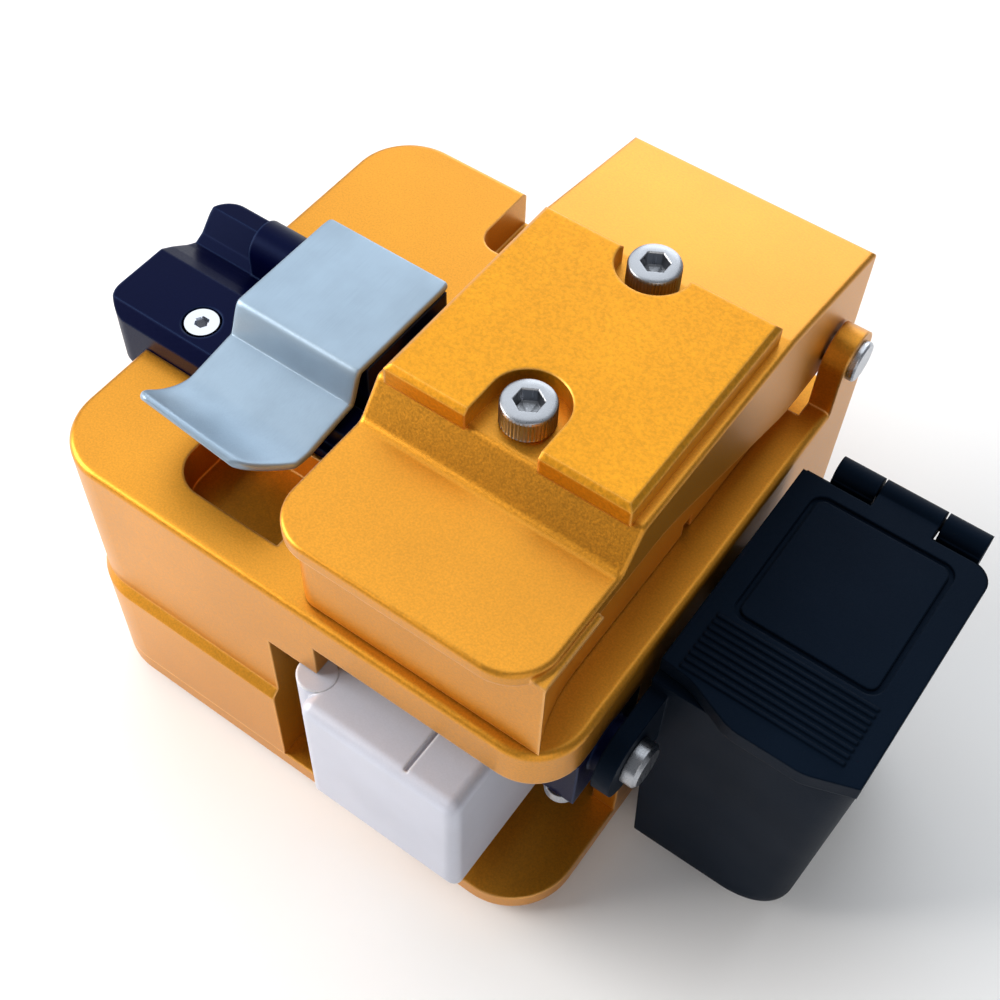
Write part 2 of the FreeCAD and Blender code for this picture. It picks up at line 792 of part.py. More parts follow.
def adapter_screw_places():
    first = dim.adapter_screw_x
    second = dim.adapter_right - dim.adapter_screw_right
    return [(first, dim.adapter_screw_y), (second, dim.adapter_screw_y - dim.adapter_screw_step)]


def bracket_screw_places():
    x = dim.base_width - dim.bracket_width / 2
    return [(x, dim.bracket_front + 1.5), (x, dim.corner_opening - 1.8)]


def cover_screw_places():
    """Two screws beside the bay at the front, one behind it at each side."""
    far = dim.base_depth - dim.rear_wall / 2
    inset = dim.plate_screw_inset
    return [(inset, inset), (dim.bay_left - dim.plate_screw_bay, inset), (inset, dim.base_depth - inset),
            (dim.base_width - dim.plate_screw_right, far)]


def bottom_plate():
    body = new_body("bottom_plate")
    low, high = -dim.base_height - dim.plate_thick, -dim.base_height
    front = -dim.ledge_step
    left = dim.left_corner_radius
    radii = (left + dim.ledge_step, dim.plate_front_right_radius, dim.rear_right_radius, left)
    add_prism(body, "XY", low, high, rounded_box(0, dim.base_width, front, dim.base_depth, radii))
    bevel_edges(body, dim.plate_bevel, edges_at(body, z=low))
    for x, y in cover_screw_places():
        cut_round(body, "XY", low, high, (x, y), dim.carriage_screw_radius + dim.screw_clear)
        cut_round(body, "XY", low, low + 1.6, (x, y), dim.carriage_screw_head + dim.screw_clear)
    for y in rail_screw_rows():
        cut_round(body, "XY", low + 0.6, high, (dim.blade_x, y), dim.carriage_screw_radius + dim.screw_clear)


def rail_screw_rows():
    middle = (dim.rail_front + bay_rear) / 2
    return [middle - dim.rail_screw_pitch, middle, middle + dim.rail_screw_pitch]


def base_pad():
    body = new_body("base_pad")
    inset = dim.pad_inset
    low = -ground
    radius = dim.pad_radius
    points = rounded_box(inset, dim.base_width - inset, inset, dim.base_depth - inset,
                         (radius, radius, radius, radius))
    add_prism(body, "XY", low, low + dim.pad_thick, points)


def lid():
    body = new_body("lid")
    left, right, rear = dim.lid_left, lid_right, lid_rear
    front = -dim.lip_overhang
    block_left, block_right = left + dim.lid_inset_left, right - dim.lid_inset_right
    add_prism(body, "XY", dim.lid_gap, dim.lip_bottom + 0.5,
              box_points(block_left, block_right, dim.lid_block_front, rear))
    round_edges(body, dim.lid_block_radius, edges_at(body, x=block_left, y=dim.lid_block_front))
    width, length = dim.cove_width, dim.cove_length
    add_prism(body, "XY", dim.lid_gap, dim.lip_bottom + 0.5, box_points(
        block_right - 1, block_right + width, dim.lid_block_front, dim.lid_block_front + length))
    cove = (width * width + length * length) / (2 * width)
    cut_round(body, "XY", dim.lid_gap, dim.lip_bottom, (block_right + cove, dim.lid_block_front + length),
              cove)
    add_prism(body, "YZ", left, right, [
        (front, dim.lip_bottom), (dim.lid_flank_front, dim.lip_bottom),
        (dim.lid_flank_rear, dim.lid_flank_bottom), (rear, dim.lid_flank_bottom),
        (rear, dim.lid_rear_top), (dim.lid_rear_break, dim.lid_top), (dim.ridge_crest, dim.lid_top),
        (dim.ridge_foot, dim.lip_top), (front, dim.lip_top)])
    round_edges(body, dim.lip_radius, edges_at(body, x=left, y=front) + edges_at(body, x=right, y=front))
    round_edges(body, dim.lid_tail_radius, edges_at(body, y=rear, z=dim.lid_gap))
    for y, z in ((dim.lid_flank_front, dim.lip_bottom), (dim.lid_flank_rear, dim.lid_flank_bottom)):
        round_edges(body, dim.lid_flank_radius, edges_at(body, y=y, z=z))
    round_edges(body, 1.2, edges_at(body, y=dim.ridge_foot, z=dim.lip_top))
    round_edges(body, 0.8, edges_at(body, y=dim.ridge_crest, z=dim.lid_top))
    sides = edges_at(body, x=left, test=above(dim.lip_bottom))
    sides += edges_at(body, x=right, test=above(dim.lip_bottom))
    ends = edges_at(body, y=front, z=dim.lip_top) + edges_at(body, y=rear, z=dim.lid_rear_top)
    round_edges(body, dim.lid_edge_radius, sorted(set(sides + ends)))
    # press bay, opening below, with a gate for the fibre in each side wall
    bay_left, bay_right_side = block_left + dim.lid_wall, block_right - dim.lid_wall
    bay = box_points(bay_left, bay_right_side, dim.lid_bay_front, dim.lid_bay_rear)
    cut_prism(body, "XY", 0, dim.lid_bay_top, bay)
    gate = box_points(fibre_y - dim.fibre_gate / 2, fibre_y + dim.fibre_gate / 2, 0, dim.fibre_gate_top)
    cut_prism(body, "YZ", left, right, gate)
    cut_round(body, "YZ", left - 1, right + 1, (dim.hinge_y, dim.hinge_z), hinge_bore)
    lug_room = dim.hinge_lug_radius + dim.hinge_lug_clear
    cut_prism(body, "XY", 0, dim.hinge_z + lug_room, box_points(
        left - 1, dim.hinge_lug_left + dim.hinge_lug_width + dim.lid_gap, dim.hinge_y - lug_room, rear + 1))
    for y in (dim.front_screw_y, dim.rear_screw_y):
        cut_round(body, "XY", dim.lid_bay_top - 1, dim.lid_top + 1, (dim.blade_x, y),
                  dim.cap_shank_radius + dim.screw_clear)
    cut_round(body, "XY", 0, dim.lid_gap + dim.magnet_thick, (dim.magnet_x, dim.magnet_y),
              dim.magnet_radius + dim.screw_clear)


def lid_cover():
    body = new_body("lid_cover")
    low, high = dim.lid_top, dim.lid_top + dim.cover_thick
    add_prism(body, "XY", low, high,
              box_points(dim.cover_left, dim.cover_right, dim.cover_front, dim.cover_rear))
    bevel_edges(body, dim.cover_bevel, edges_at(body, z=high))
    radius = dim.cover_notch_radius
    for y, edge in ((dim.front_screw_y, dim.cover_front - 1), (dim.rear_screw_y, dim.cover_rear + 1)):
        cut_round(body, "XY", low, high, (dim.blade_x, y), radius)
        near, far = (edge, y) if edge.value < y.value else (y, edge)
        cut_prism(body, "XY", low, high, box_points(dim.blade_x - radius, dim.blade_x + radius, near, far))


def cap_screw(label, y):
    """Socket head cap screw whose head stands on the lid."""
    body = new_body(label)
    seat = dim.lid_top
    top = seat + dim.cap_head_height
    x, radius = dim.blade_x, dim.cap_head_radius
    turned(body, (x, y, 0), "Z", [
        (seat - dim.cap_length, 0), (seat - dim.cap_length, dim.cap_shank_radius),
        (seat, dim.cap_shank_radius),
        (seat, radius), (top - 0.3, radius), (top, radius - 0.3), (top, 0)])
    cut_prism(body, "XY", top - 1.5, top, hexagon(x, y, dim.cap_socket / 2))


def hexagon(x, y, apothem):
    reach = apothem * (1 / math.cos(math.pi / 6))
    return [(as_size(x) + reach * math.cos(math.radians(60 * k)),
             as_size(y) + reach * math.sin(math.radians(60 * k)))
            for k in range(6)]


def lid_press_gear():
    """Inside the lid: carrier, sprung yoke with its two pads, and the sprung anvil."""
    x, y = dim.blade_x, fibre_y
    ceiling = dim.lid_bay_top
    floor = ceiling - dim.carrier_thick
    pin_places = [(x - dim.yoke_pin_spread, y), (x + dim.yoke_pin_spread, y)]
    body = new_body("press_carrier")
    add_prism(body, "XY", floor, ceiling,
              box_points(x - dim.carrier_side, x + dim.carrier_side, dim.carrier_front, dim.carrier_rear))
    for place in ((x, dim.front_screw_y), (x, dim.rear_screw_y)):
        cut_round(body, "XY", floor, ceiling, place, dim.cap_shank_radius + dim.screw_clear)
    cut_round(body, "XY", floor, ceiling, (x, y), dim.anvil_radius + dim.running_clear)
    for place in pin_places:
        cut_round(body, "XY", floor, ceiling - 0.5, place, dim.yoke_pin_radius + dim.running_clear)
        cut_round(body, "XY", floor, ceiling - 2, place, dim.press_spring_radius + dim.seat_clear)
    yoke_top = floor - dim.yoke_lift
    yoke_floor = yoke_top - dim.yoke_thick
    body = new_body("press_yoke")
    half = dim.yoke_length / 2
    add_prism(body, "XY", yoke_floor, yoke_top,
              box_points(x - dim.yoke_side, x + dim.yoke_side, y - half, y + half))
    cut_round(body, "XY", yoke_floor, yoke_top, (x, y), dim.anvil_radius + 0.6)
    for place in pin_places:
        add_round(body, "XY", yoke_top - 0.5, yoke_top + dim.yoke_pin_height, place, dim.yoke_pin_radius)
    for side, place in zip(("left", "right"), pin_places):
        sleeve("press_spring_" + side, "Z", yoke_top, ceiling - 2, place, dim.press_spring_radius,
               dim.press_spring_wall)
    for side, name in ((-1, "left"), (1, "right")):
        body = new_body("press_pad_" + name)
        centre = x + side * pad_offset()
        points = box_points(centre - dim.clamp_pad_width / 2, centre + dim.clamp_pad_width / 2,
                            y - dim.clamp_pad_length / 2, y + dim.clamp_pad_length / 2)
        add_prism(body, "XY", yoke_floor - dim.press_pad_thick, yoke_floor, points)
    tip = dim.fibre_height + dim.anvil_rise
    cylinder("anvil_tip", "Z", tip, tip + dim.anvil_tip_thick, (x, y), dim.anvil_tip_radius)
    rod = tip + dim.anvil_tip_thick
    cylinder("anvil_rod", "Z", rod, rod + dim.anvil_length, (x, y), dim.anvil_radius)
    sleeve("anvil_spring", "Z", rod + dim.anvil_length, ceiling, (x, y), dim.anvil_radius - 0.1,
           dim.press_spring_wall)
    low = dim.lid_gap
    cylinder("lid_magnet", "Z", low, low + dim.magnet_thick, (dim.magnet_x, dim.magnet_y), dim.magnet_radius)


def pad_offset():
    return dim.clamp_gap_half + dim.clamp_width / 2


def lower_clamps():
    for side, name in ((-1, "left"), (1, "right")):
        centre = dim.blade_x + side * pad_offset()
        half_width = dim.clamp_width / 2 - dim.screw_clear
        half_length = dim.clamp_length / 2 - dim.screw_clear
        body = new_body("lower_clamp_" + name)
        add_prism(body, "XY", -dim.clamp_seat, dim.clamp_rise,
                  box_points(centre - half_width, centre + half_width, fibre_y - half_length,
                             fibre_y + half_length))
        body = new_body("lower_pad_" + name)
        add_prism(body, "XY", dim.clamp_rise, dim.fibre_height,
                  box_points(centre - dim.clamp_pad_width / 2, centre + dim.clamp_pad_width / 2,
                             fibre_y - dim.clamp_pad_length / 2, fibre_y + dim.clamp_pad_length / 2))
    cylinder("deck_magnet", "Z", -dim.magnet_thick, 0, (dim.magnet_x, dim.magnet_y), dim.magnet_radius)


def hinge_shaft():
    body = new_body("hinge_shaft")
    left = dim.hinge_lug_left - 1.2
    right = dim.base_width
    radius, head = dim.hinge_pin_radius, dim.hinge_head_radius
    turned(body, (0, dim.hinge_y, dim.hinge_z), "X", [
        (left, 0), (left, radius), (right, radius), (right, head), (right + dim.hinge_head_thick - 0.2, head),
        (right + dim.hinge_head_thick, head - 0.2), (right + dim.hinge_head_thick, 0)])
    ring_right = dim.hinge_lug_left
    sleeve("shaft_ring", "X", ring_right - dim.snap_ring_thick, ring_right, (dim.hinge_y, dim.hinge_z),
           dim.snap_ring_radius, dim.snap_ring_radius - dim.hinge_pin_radius - dim.screw_clear)


def carriage():
    handle_left = dim.blade_x - dim.handle_width / 2
    handle_right = handle_left + dim.handle_width
    top, bottom = -dim.handle_drop, -dim.handle_drop - dim.handle_height
    body = new_body("carriage_handle")
    add_prism(body, "XY", bottom, top,
              box_points(handle_left, handle_right, -dim.handle_proud, dim.handle_rear))
    front_edges = edges_at(body, y=-dim.handle_proud)
    side_edges = edges_at(body, x=handle_left, z=top) + edges_at(body, x=handle_right, z=top)
    round_edges(body, dim.handle_radius, sorted(set(front_edges + side_edges)))
    line = dim.blade_x + dim.handle_line_offset
    cut_prism(body, "XY", top - dim.handle_line_depth, top,
              box_points(line, line + dim.handle_line_width, -dim.handle_proud + 1, dim.handle_rear))
    add_round(body, "XY", -dim.stub_top - dim.stub_height, -dim.stub_top, (dim.stub_x, dim.stub_y),
              dim.stub_radius)
    for x in handle_screw_places():
        cut_round(body, "XZ", dim.handle_rear - 6, dim.handle_rear, (x, handle_screw_level()),
                  dim.carriage_screw_radius + dim.screw_clear)

    floor = dim.bearing_top - dim.base_height
    rear = dim.handle_rear + dim.slider_length
    body = new_body("slider_block")
    add_prism(body, "XY", floor, floor + dim.slider_floor,
              box_points(dim.slider_left, dim.slider_right, dim.handle_rear, rear))
    add_prism(body, "XY", floor + dim.slider_floor, -dim.slider_wall_top,
              box_points(dim.slider_left, dim.slider_right, dim.handle_rear,
                         dim.handle_rear + dim.slider_front_wall))
    add_prism(body, "XY", floor + dim.slider_floor, -dim.post_top,
              box_points(arm_right(), dim.slider_right, dim.handle_rear + 1,
                         dim.handle_rear + 1 + dim.post_length))
    tab_rear = dim.handle_rear + dim.slider_front_wall
    add_prism(body, "XY", floor, -dim.spring_tab_top,
              box_points(dim.spring_tab_left, dim.slider_left, dim.handle_rear, tab_rear))
    cut_round(body, "XZ", dim.handle_rear, tab_rear, (dim.spring_x, -dim.spring_drop),
              dim.spring_rod_radius + dim.moving_clear)
    for x in handle_screw_places():
        cut_round(body, "XZ", dim.handle_rear, dim.handle_rear + dim.slider_front_wall,
                  (x, handle_screw_level()), dim.carriage_screw_radius + dim.screw_clear)
    cut_round(body, "XY", floor, floor + dim.slider_floor, (arm_middle(), dim.blade_start_y),
              dim.height_screw_radius + dim.screw_clear)
    cut_round(body, "YZ", arm_right(), arm_right() + 1.5, (dim.blade_start_y, blade_z - 8),
              dim.carriage_screw_radius + dim.screw_clear)

    group = []
    for number, x in enumerate(handle_screw_places()):
        group.append(plain_screw("handle_screw_%d" % number, "Y", dim.handle_rear + dim.slider_front_wall,
                                 (x, handle_screw_level()), 8))
    join_group("handle_screws", group)

    half = dim.bearing_width / 2
    body = new_body("bearing_block")
    low = dim.bearing_clear - dim.base_height
    start = dim.handle_rear + 1
    add_prism(body, "XY", low, floor, box_points(dim.blade_x - half, dim.blade_x + half, start,
                                                 start + dim.bearing_length))
    gap = dim.rail_width / 2 + dim.rail_clear
    channel = box_points(dim.blade_x - gap, dim.blade_x + gap, low,
                         dim.rail_height + dim.rail_clear - dim.base_height)
    cut_prism(body, "XZ", start, start + dim.bearing_length, channel)

    body = new_body("linear_rail")
    side, low, groove = dim.rail_width / 2, -dim.base_height, dim.rail_groove
    high = low + dim.rail_height
    waist = (low + high) / 2
    right = [(dim.blade_x + side, low), (dim.blade_x + side, waist - groove),
             (dim.blade_x + side - groove, waist),
             (dim.blade_x + side, waist + groove), (dim.blade_x + side, high)]
    left = [(2 * dim.blade_x - x, z) for x, z in reversed(right)]
    add_prism(body, "XZ", dim.rail_front, bay_rear, right + left)
    for y in rail_screw_rows():
        cut_round(body, "XY", low, high, (dim.blade_x, y), dim.carriage_screw_radius + dim.screw_clear)
        cut_round(body, "XY", high - 1.4, high, (dim.blade_x, y), dim.carriage_screw_head + dim.screw_clear)
    group = []
    for number, y in enumerate(rail_screw_rows()):
        group.append(plain_screw("rail_screw_%d" % number, "Z", high - 1.4, (dim.blade_x, y), 4.4, 1.2))
    join_group("rail_screws", group)

    cylinder("spring_rod", "Y", dim.spring_rod_front, bay_rear + dim.spring_rod_hold,
             (dim.spring_x, -dim.spring_drop), dim.spring_rod_radius)
    sleeve("return_spring", "Y", tab_rear + dim.seat_clear, bay_rear - dim.seat_clear,
           (dim.spring_x, -dim.spring_drop), dim.spring_radius, dim.spring_wall)


def handle_screw_places():
    return [dim.slider_left + 2.4, dim.slider_left + 6.6]


def handle_screw_level():
    return -dim.handle_drop - dim.handle_height / 2


def arm_left():
    return dim.blade_x + dim.blade_thick / 2 + 0.6


def arm_right():
    return arm_left() + dim.blade_arm_thick


def arm_middle():
    return (arm_left() + arm_right()) / 2


def plain_screw(label, axis, seat, centre, length, head=1.7):
    """Round head on the positive side of the seat and a shank on the other, as one solid."""
    shank = document.addObject("Part::Cylinder", label + "_shank")
    bind(shank, "Height", length)
    bind(shank, "Radius", dim.carriage_screw_radius)
    place_cylinder(shank, axis, as_size(seat) - length, centre)
    cap = document.addObject("Part::Cylinder", label + "_head")
    bind(cap, "Height", head)
    bind(cap, "Radius", dim.carriage_screw_head)
    place_cylinder(cap, axis, seat, centre)
    screw = document.addObject("Part::Fuse", label)
    screw.Base = shank
    screw.Tool = cap
    return screw


def join_group(label, items):
    """Identical fasteners kept as separate solids of one node."""
    group = document.addObject("Part::Compound", label)
    group.Label = label
    group.Links = items
    PARTS.append(group)


def blade():
    x, y, z = dim.blade_x, dim.blade_start_y, blade_z
    half = dim.blade_thick / 2
    radius, bevel = dim.blade_radius, dim.blade_bevel
    body = new_body("blade_wheel")
    turned(body, (0, y, z), "X", [
        (x - half, 0), (x - half, radius - bevel), (x, radius), (x + half, radius - bevel), (x + half, 0)])
    cut_round(body, "YZ", x - half, x + half, (y, z), dim.blade_bore + dim.running_clear)
    mark = cut_round(body, "YZ", x - half, x + half, (y, z + dim.index_hole_ring), dim.index_hole_radius)
    ring = body.newObject("PartDesign::PolarPattern", "IndexHoles")
    ring.Originals = [mark]
    axis_sketch = new_sketch(body, "YZ", 0)
    centre = (as_size(y), as_size(z))
    point = axis_sketch.addGeometry(Part.Point(FreeCAD.Vector(centre[0].value, centre[1].value, 0)), True)
    hold_point(axis_sketch, point, 1, centre)
    side = axis_sketch.addGeometry(Part.LineSegment(FreeCAD.Vector(centre[0].value, centre[1].value, 0),
                                                    FreeCAD.Vector(centre[0].value + 1,
                                                                   centre[1].value, 0)), True)
    axis_sketch.addConstraint(Sketcher.Constraint("Coincident", side, 1, point, 1))
    axis_sketch.addConstraint(Sketcher.Constraint("Horizontal", side))
    index = axis_sketch.addConstraint(Sketcher.Constraint("Distance", side, 1.0))
    bind(axis_sketch, "Constraints[%d]" % index, 1)
    ring.Axis = (axis_sketch, ["N_Axis"])
    ring.Angle = 360
    ring.Occurrences = 16
    body.Tip = ring

    body = new_body("blade_arm")
    radius = dim.blade_arm_radius
    low = dim.bearing_top - dim.base_height + dim.slider_floor + dim.arm_foot
    add_prism(body, "YZ", arm_left(), arm_right(),
              [(y - radius, low), (y + radius, low)] + dome(y, z, radius))
    add_round(body, "YZ", x + half, arm_left() + 0.2, (y, z), dim.blade_bore + 0.9)
    cut_round(body, "YZ", x + half, arm_right(), (y, z), dim.blade_bore - 0.3 + dim.screw_clear)

    body = new_body("blade_screw")
    inner = x - half - 0.05
    head = inner - dim.blade_screw_thick
    big = dim.blade_screw_head
    turned(body, (0, y, z), "X", [
        (head, 0), (head, big - 0.3), (head + 0.3, big), (inner, big), (inner, dim.blade_bore),
        (x + half, dim.blade_bore), (x + half, dim.blade_bore - 0.3), (arm_right(), dim.blade_bore - 0.3),
        (arm_right(), 0)])
    cylinder("height_screw", "Z", dim.bearing_top - dim.base_height + 0.2, low, (arm_middle(), y),
             dim.height_screw_radius)


def fibre_adapter():
    body = new_body("fibre_adapter")
    left, right, front, rear = -dim.adapter_left, dim.adapter_right, dim.adapter_front, dim.adapter_rear
    floor, top = dim.adapter_floor, dim.adapter_top
    add_prism(body, "XY", -dim.adapter_seat, floor, box_points(left, right, front, rear))
    add_prism(body, "XY", -dim.adapter_lip, -dim.adapter_seat, box_points(left, -dim.seat_clear, front, rear))
    groove, flat = dim.groove_half, dim.groove_flat
    add_prism(body, "YZ", left, dim.adapter_head_right, [
        (front, floor - 1), (rear, floor - 1), (rear, top), (fibre_y + groove, top),
        (fibre_y + flat, floor + 0.6), (fibre_y, floor), (fibre_y - flat, floor + 0.6),
        (fibre_y - groove, top - 0.9), (fibre_y - groove - 1.6, top),
        (front + 1.2, top), (front, top - 1.6)])
    add_prism(body, "XY", floor - 1, top, box_points(dim.adapter_head_right - 1, right, front + 1.2,
                                                     dim.adapter_bar_rear))
    radius = dim.clamp_ear_radius
    for low, high in ((dim.clamp_ear_left, dim.clamp_left - 0.3), (dim.clamp_right + 0.3, right)):
        ear = [(dim.clamp_hinge_y - radius, floor - 1), (dim.clamp_hinge_y + radius, floor - 1)]
        add_prism(body, "YZ", low, high, ear + dome(dim.clamp_hinge_y, dim.clamp_hinge_z, radius))
    corners = edges_at(body, x=left, y=front, test=tall(2)) + edges_at(body, x=left, y=rear, test=tall(2))
    round_edges(body, dim.adapter_radius, corners)
    cut_round(body, "YZ", dim.clamp_ear_left - 1, right + 1, (dim.clamp_hinge_y, dim.clamp_hinge_z),
              dim.clamp_pin_radius + dim.screw_clear)
    for x, y in adapter_screw_places():
        cut_round(body, "XY", -dim.adapter_seat, top, (x, y), dim.adapter_screw_shank + dim.screw_clear)
        cut_round(body, "XY", top - 1.9, top, (x, y), dim.adapter_screw_head + 0.3)
    cut_round(body, "XY", -dim.keeper_thick, floor, (dim.keeper_x, dim.keeper_y),
              dim.keeper_radius + dim.screw_clear)

    group = []
    for number, (x, y) in enumerate(adapter_screw_places()):
        group.append(small_cap_screw("adapter_screw_%d" % number, x, y, top - 1.9))
    join_group("adapter_screws", group)
    cylinder("adapter_magnet", "Z", -dim.keeper_thick, floor, (dim.keeper_x, dim.keeper_y), dim.keeper_radius)


def leaning(x):
    """Picks the long edges whose outer end reaches x."""
    return lambda box: abs(box.XMax - x.value) < 0.01 and box.ZLength > 10


def above(level):
    """Picks the edges that lie wholly above a level and aren't upright."""
    return lambda box: box.ZMin > level.value + 0.1 and box.YLength > 0.1


def tall(size):
    return lambda box: box.ZLength > size


def small_cap_screw(label, x, y, seat):
    parts = []
    for name, radius, low, high in (("head", dim.adapter_screw_head, seat, seat + 1.9),
                                    ("shank", dim.adapter_screw_shank, -dim.adapter_screw_length, seat)):
        item = document.addObject("Part::Cylinder", label + "_" + name)
        bind(item, "Height", as_size(high) - low)
        bind(item, "Radius", radius)
        place_cylinder(item, "Z", low, (x, y))
        parts.append(item)
    whole = document.addObject("Part::Fuse", label + "_blank")
    whole.Base, whole.Tool = parts
    socket = document.addObject("Part::Prism", label + "_socket")
    socket.Polygon = 6
    bind(socket, "Circumradius", 0.87)
    bind(socket, "Height", 2)
    place_cylinder(socket, "Z", as_size(seat) + 0.9, (x, y))
    screw = document.addObject("Part::Cut", label)
    screw.Base = whole
    screw.Tool = socket
    return screw


def adapter_clamp():
    left, right, front, back = dim.clamp_left, dim.clamp_right, dim.clamp_front, dim.clamp_back
    low, top = dim.adapter_floor + dim.clamp_lift, dim.clamp_top
    y, z = dim.clamp_hinge_y, dim.clamp_hinge_z
    body = new_body("clamp_body")
    knuckle = dim.clamp_hinge_z - low
    add_prism(body, "YZ", left, right,
              [(front, low), (y, low), (y + knuckle, z, -FLAT * knuckle), (back, top - 2), (back, top),
                                        (front, top)])
    cut_round(body, "YZ", left, right, (y, z), dim.clamp_pin_radius + dim.running_clear)
    half = dim.clamp_pad_length / 2
    pad = box_points(left + dim.clamp_pad_inset, right - dim.clamp_pad_inset, fibre_y - half,
                     fibre_y - half + dim.clamp_pad_depth)
    cut_prism(body, "XY", low, low + 1.2, pad)
    cut_round(body, "XY", low, low + dim.keeper_thick, (dim.keeper_x, dim.keeper_y),
              dim.keeper_radius + dim.screw_clear)
    body = new_body("clamp_pad")
    add_prism(body, "XY", low - 0.15, low + 1.2, pad)
    cylinder("clamp_keeper", "Z", low, low + dim.keeper_thick, (dim.keeper_x, dim.keeper_y),
             dim.keeper_radius)
    cylinder("clamp_pin", "X", dim.clamp_ear_left + 0.5, dim.adapter_right, (y, z), dim.clamp_pin_radius)

    body = new_body("clamp_lever")
    thick, step = dim.lever_thick, dim.lever_low
    tip, tip_z = dim.lever_tip, step + dim.lever_tip_rise
    add_prism(body, "YZ", left - dim.lever_flare, right, [
        (dim.lever_rear, top), (dim.lever_rear, top + thick), (dim.lever_bend - 0.5, top + thick),
        (dim.lever_step - 0.5, step + thick), (dim.lever_front_bend, step + thick),
        (tip - 0.3, tip_z + thick),
        (tip, tip_z), (dim.lever_front_bend + 0.4, step), (dim.lever_step, step), (dim.lever_bend, top)])
    bends = [(dim.lever_bend - 0.5, top + thick), (dim.lever_bend, top), (dim.lever_step - 0.5, step + thick),
             (dim.lever_step, step)]
    for place in bends:
        round_edges(body, dim.lever_bend_radius, edges_at(body, y=place[0], z=place[1]))
    for place in ((dim.lever_front_bend, step + thick), (dim.lever_front_bend + 0.4, step)):
        round_edges(body, dim.lever_bend_radius * 3, edges_at(body, y=place[0], z=place[1]))
    # flared finger tip at the left, corner taken off at the right
    cut_prism(body, "XY", 0, top + 6,
              [(left - dim.lever_flare - 1, tip + 2.2), (left - dim.lever_flare, tip + 2.2),
                                       (left, tip + 4.6), (left, dim.lever_rear + 1),
                                       (left - dim.lever_flare - 1, dim.lever_rear + 1)])
    cut_prism(body, "XY", 0, top + 6, [(right + 1, tip + 5), (right, tip + 5), (right - 2.6, tip - 1),
                                       (right + 1, tip - 1)])


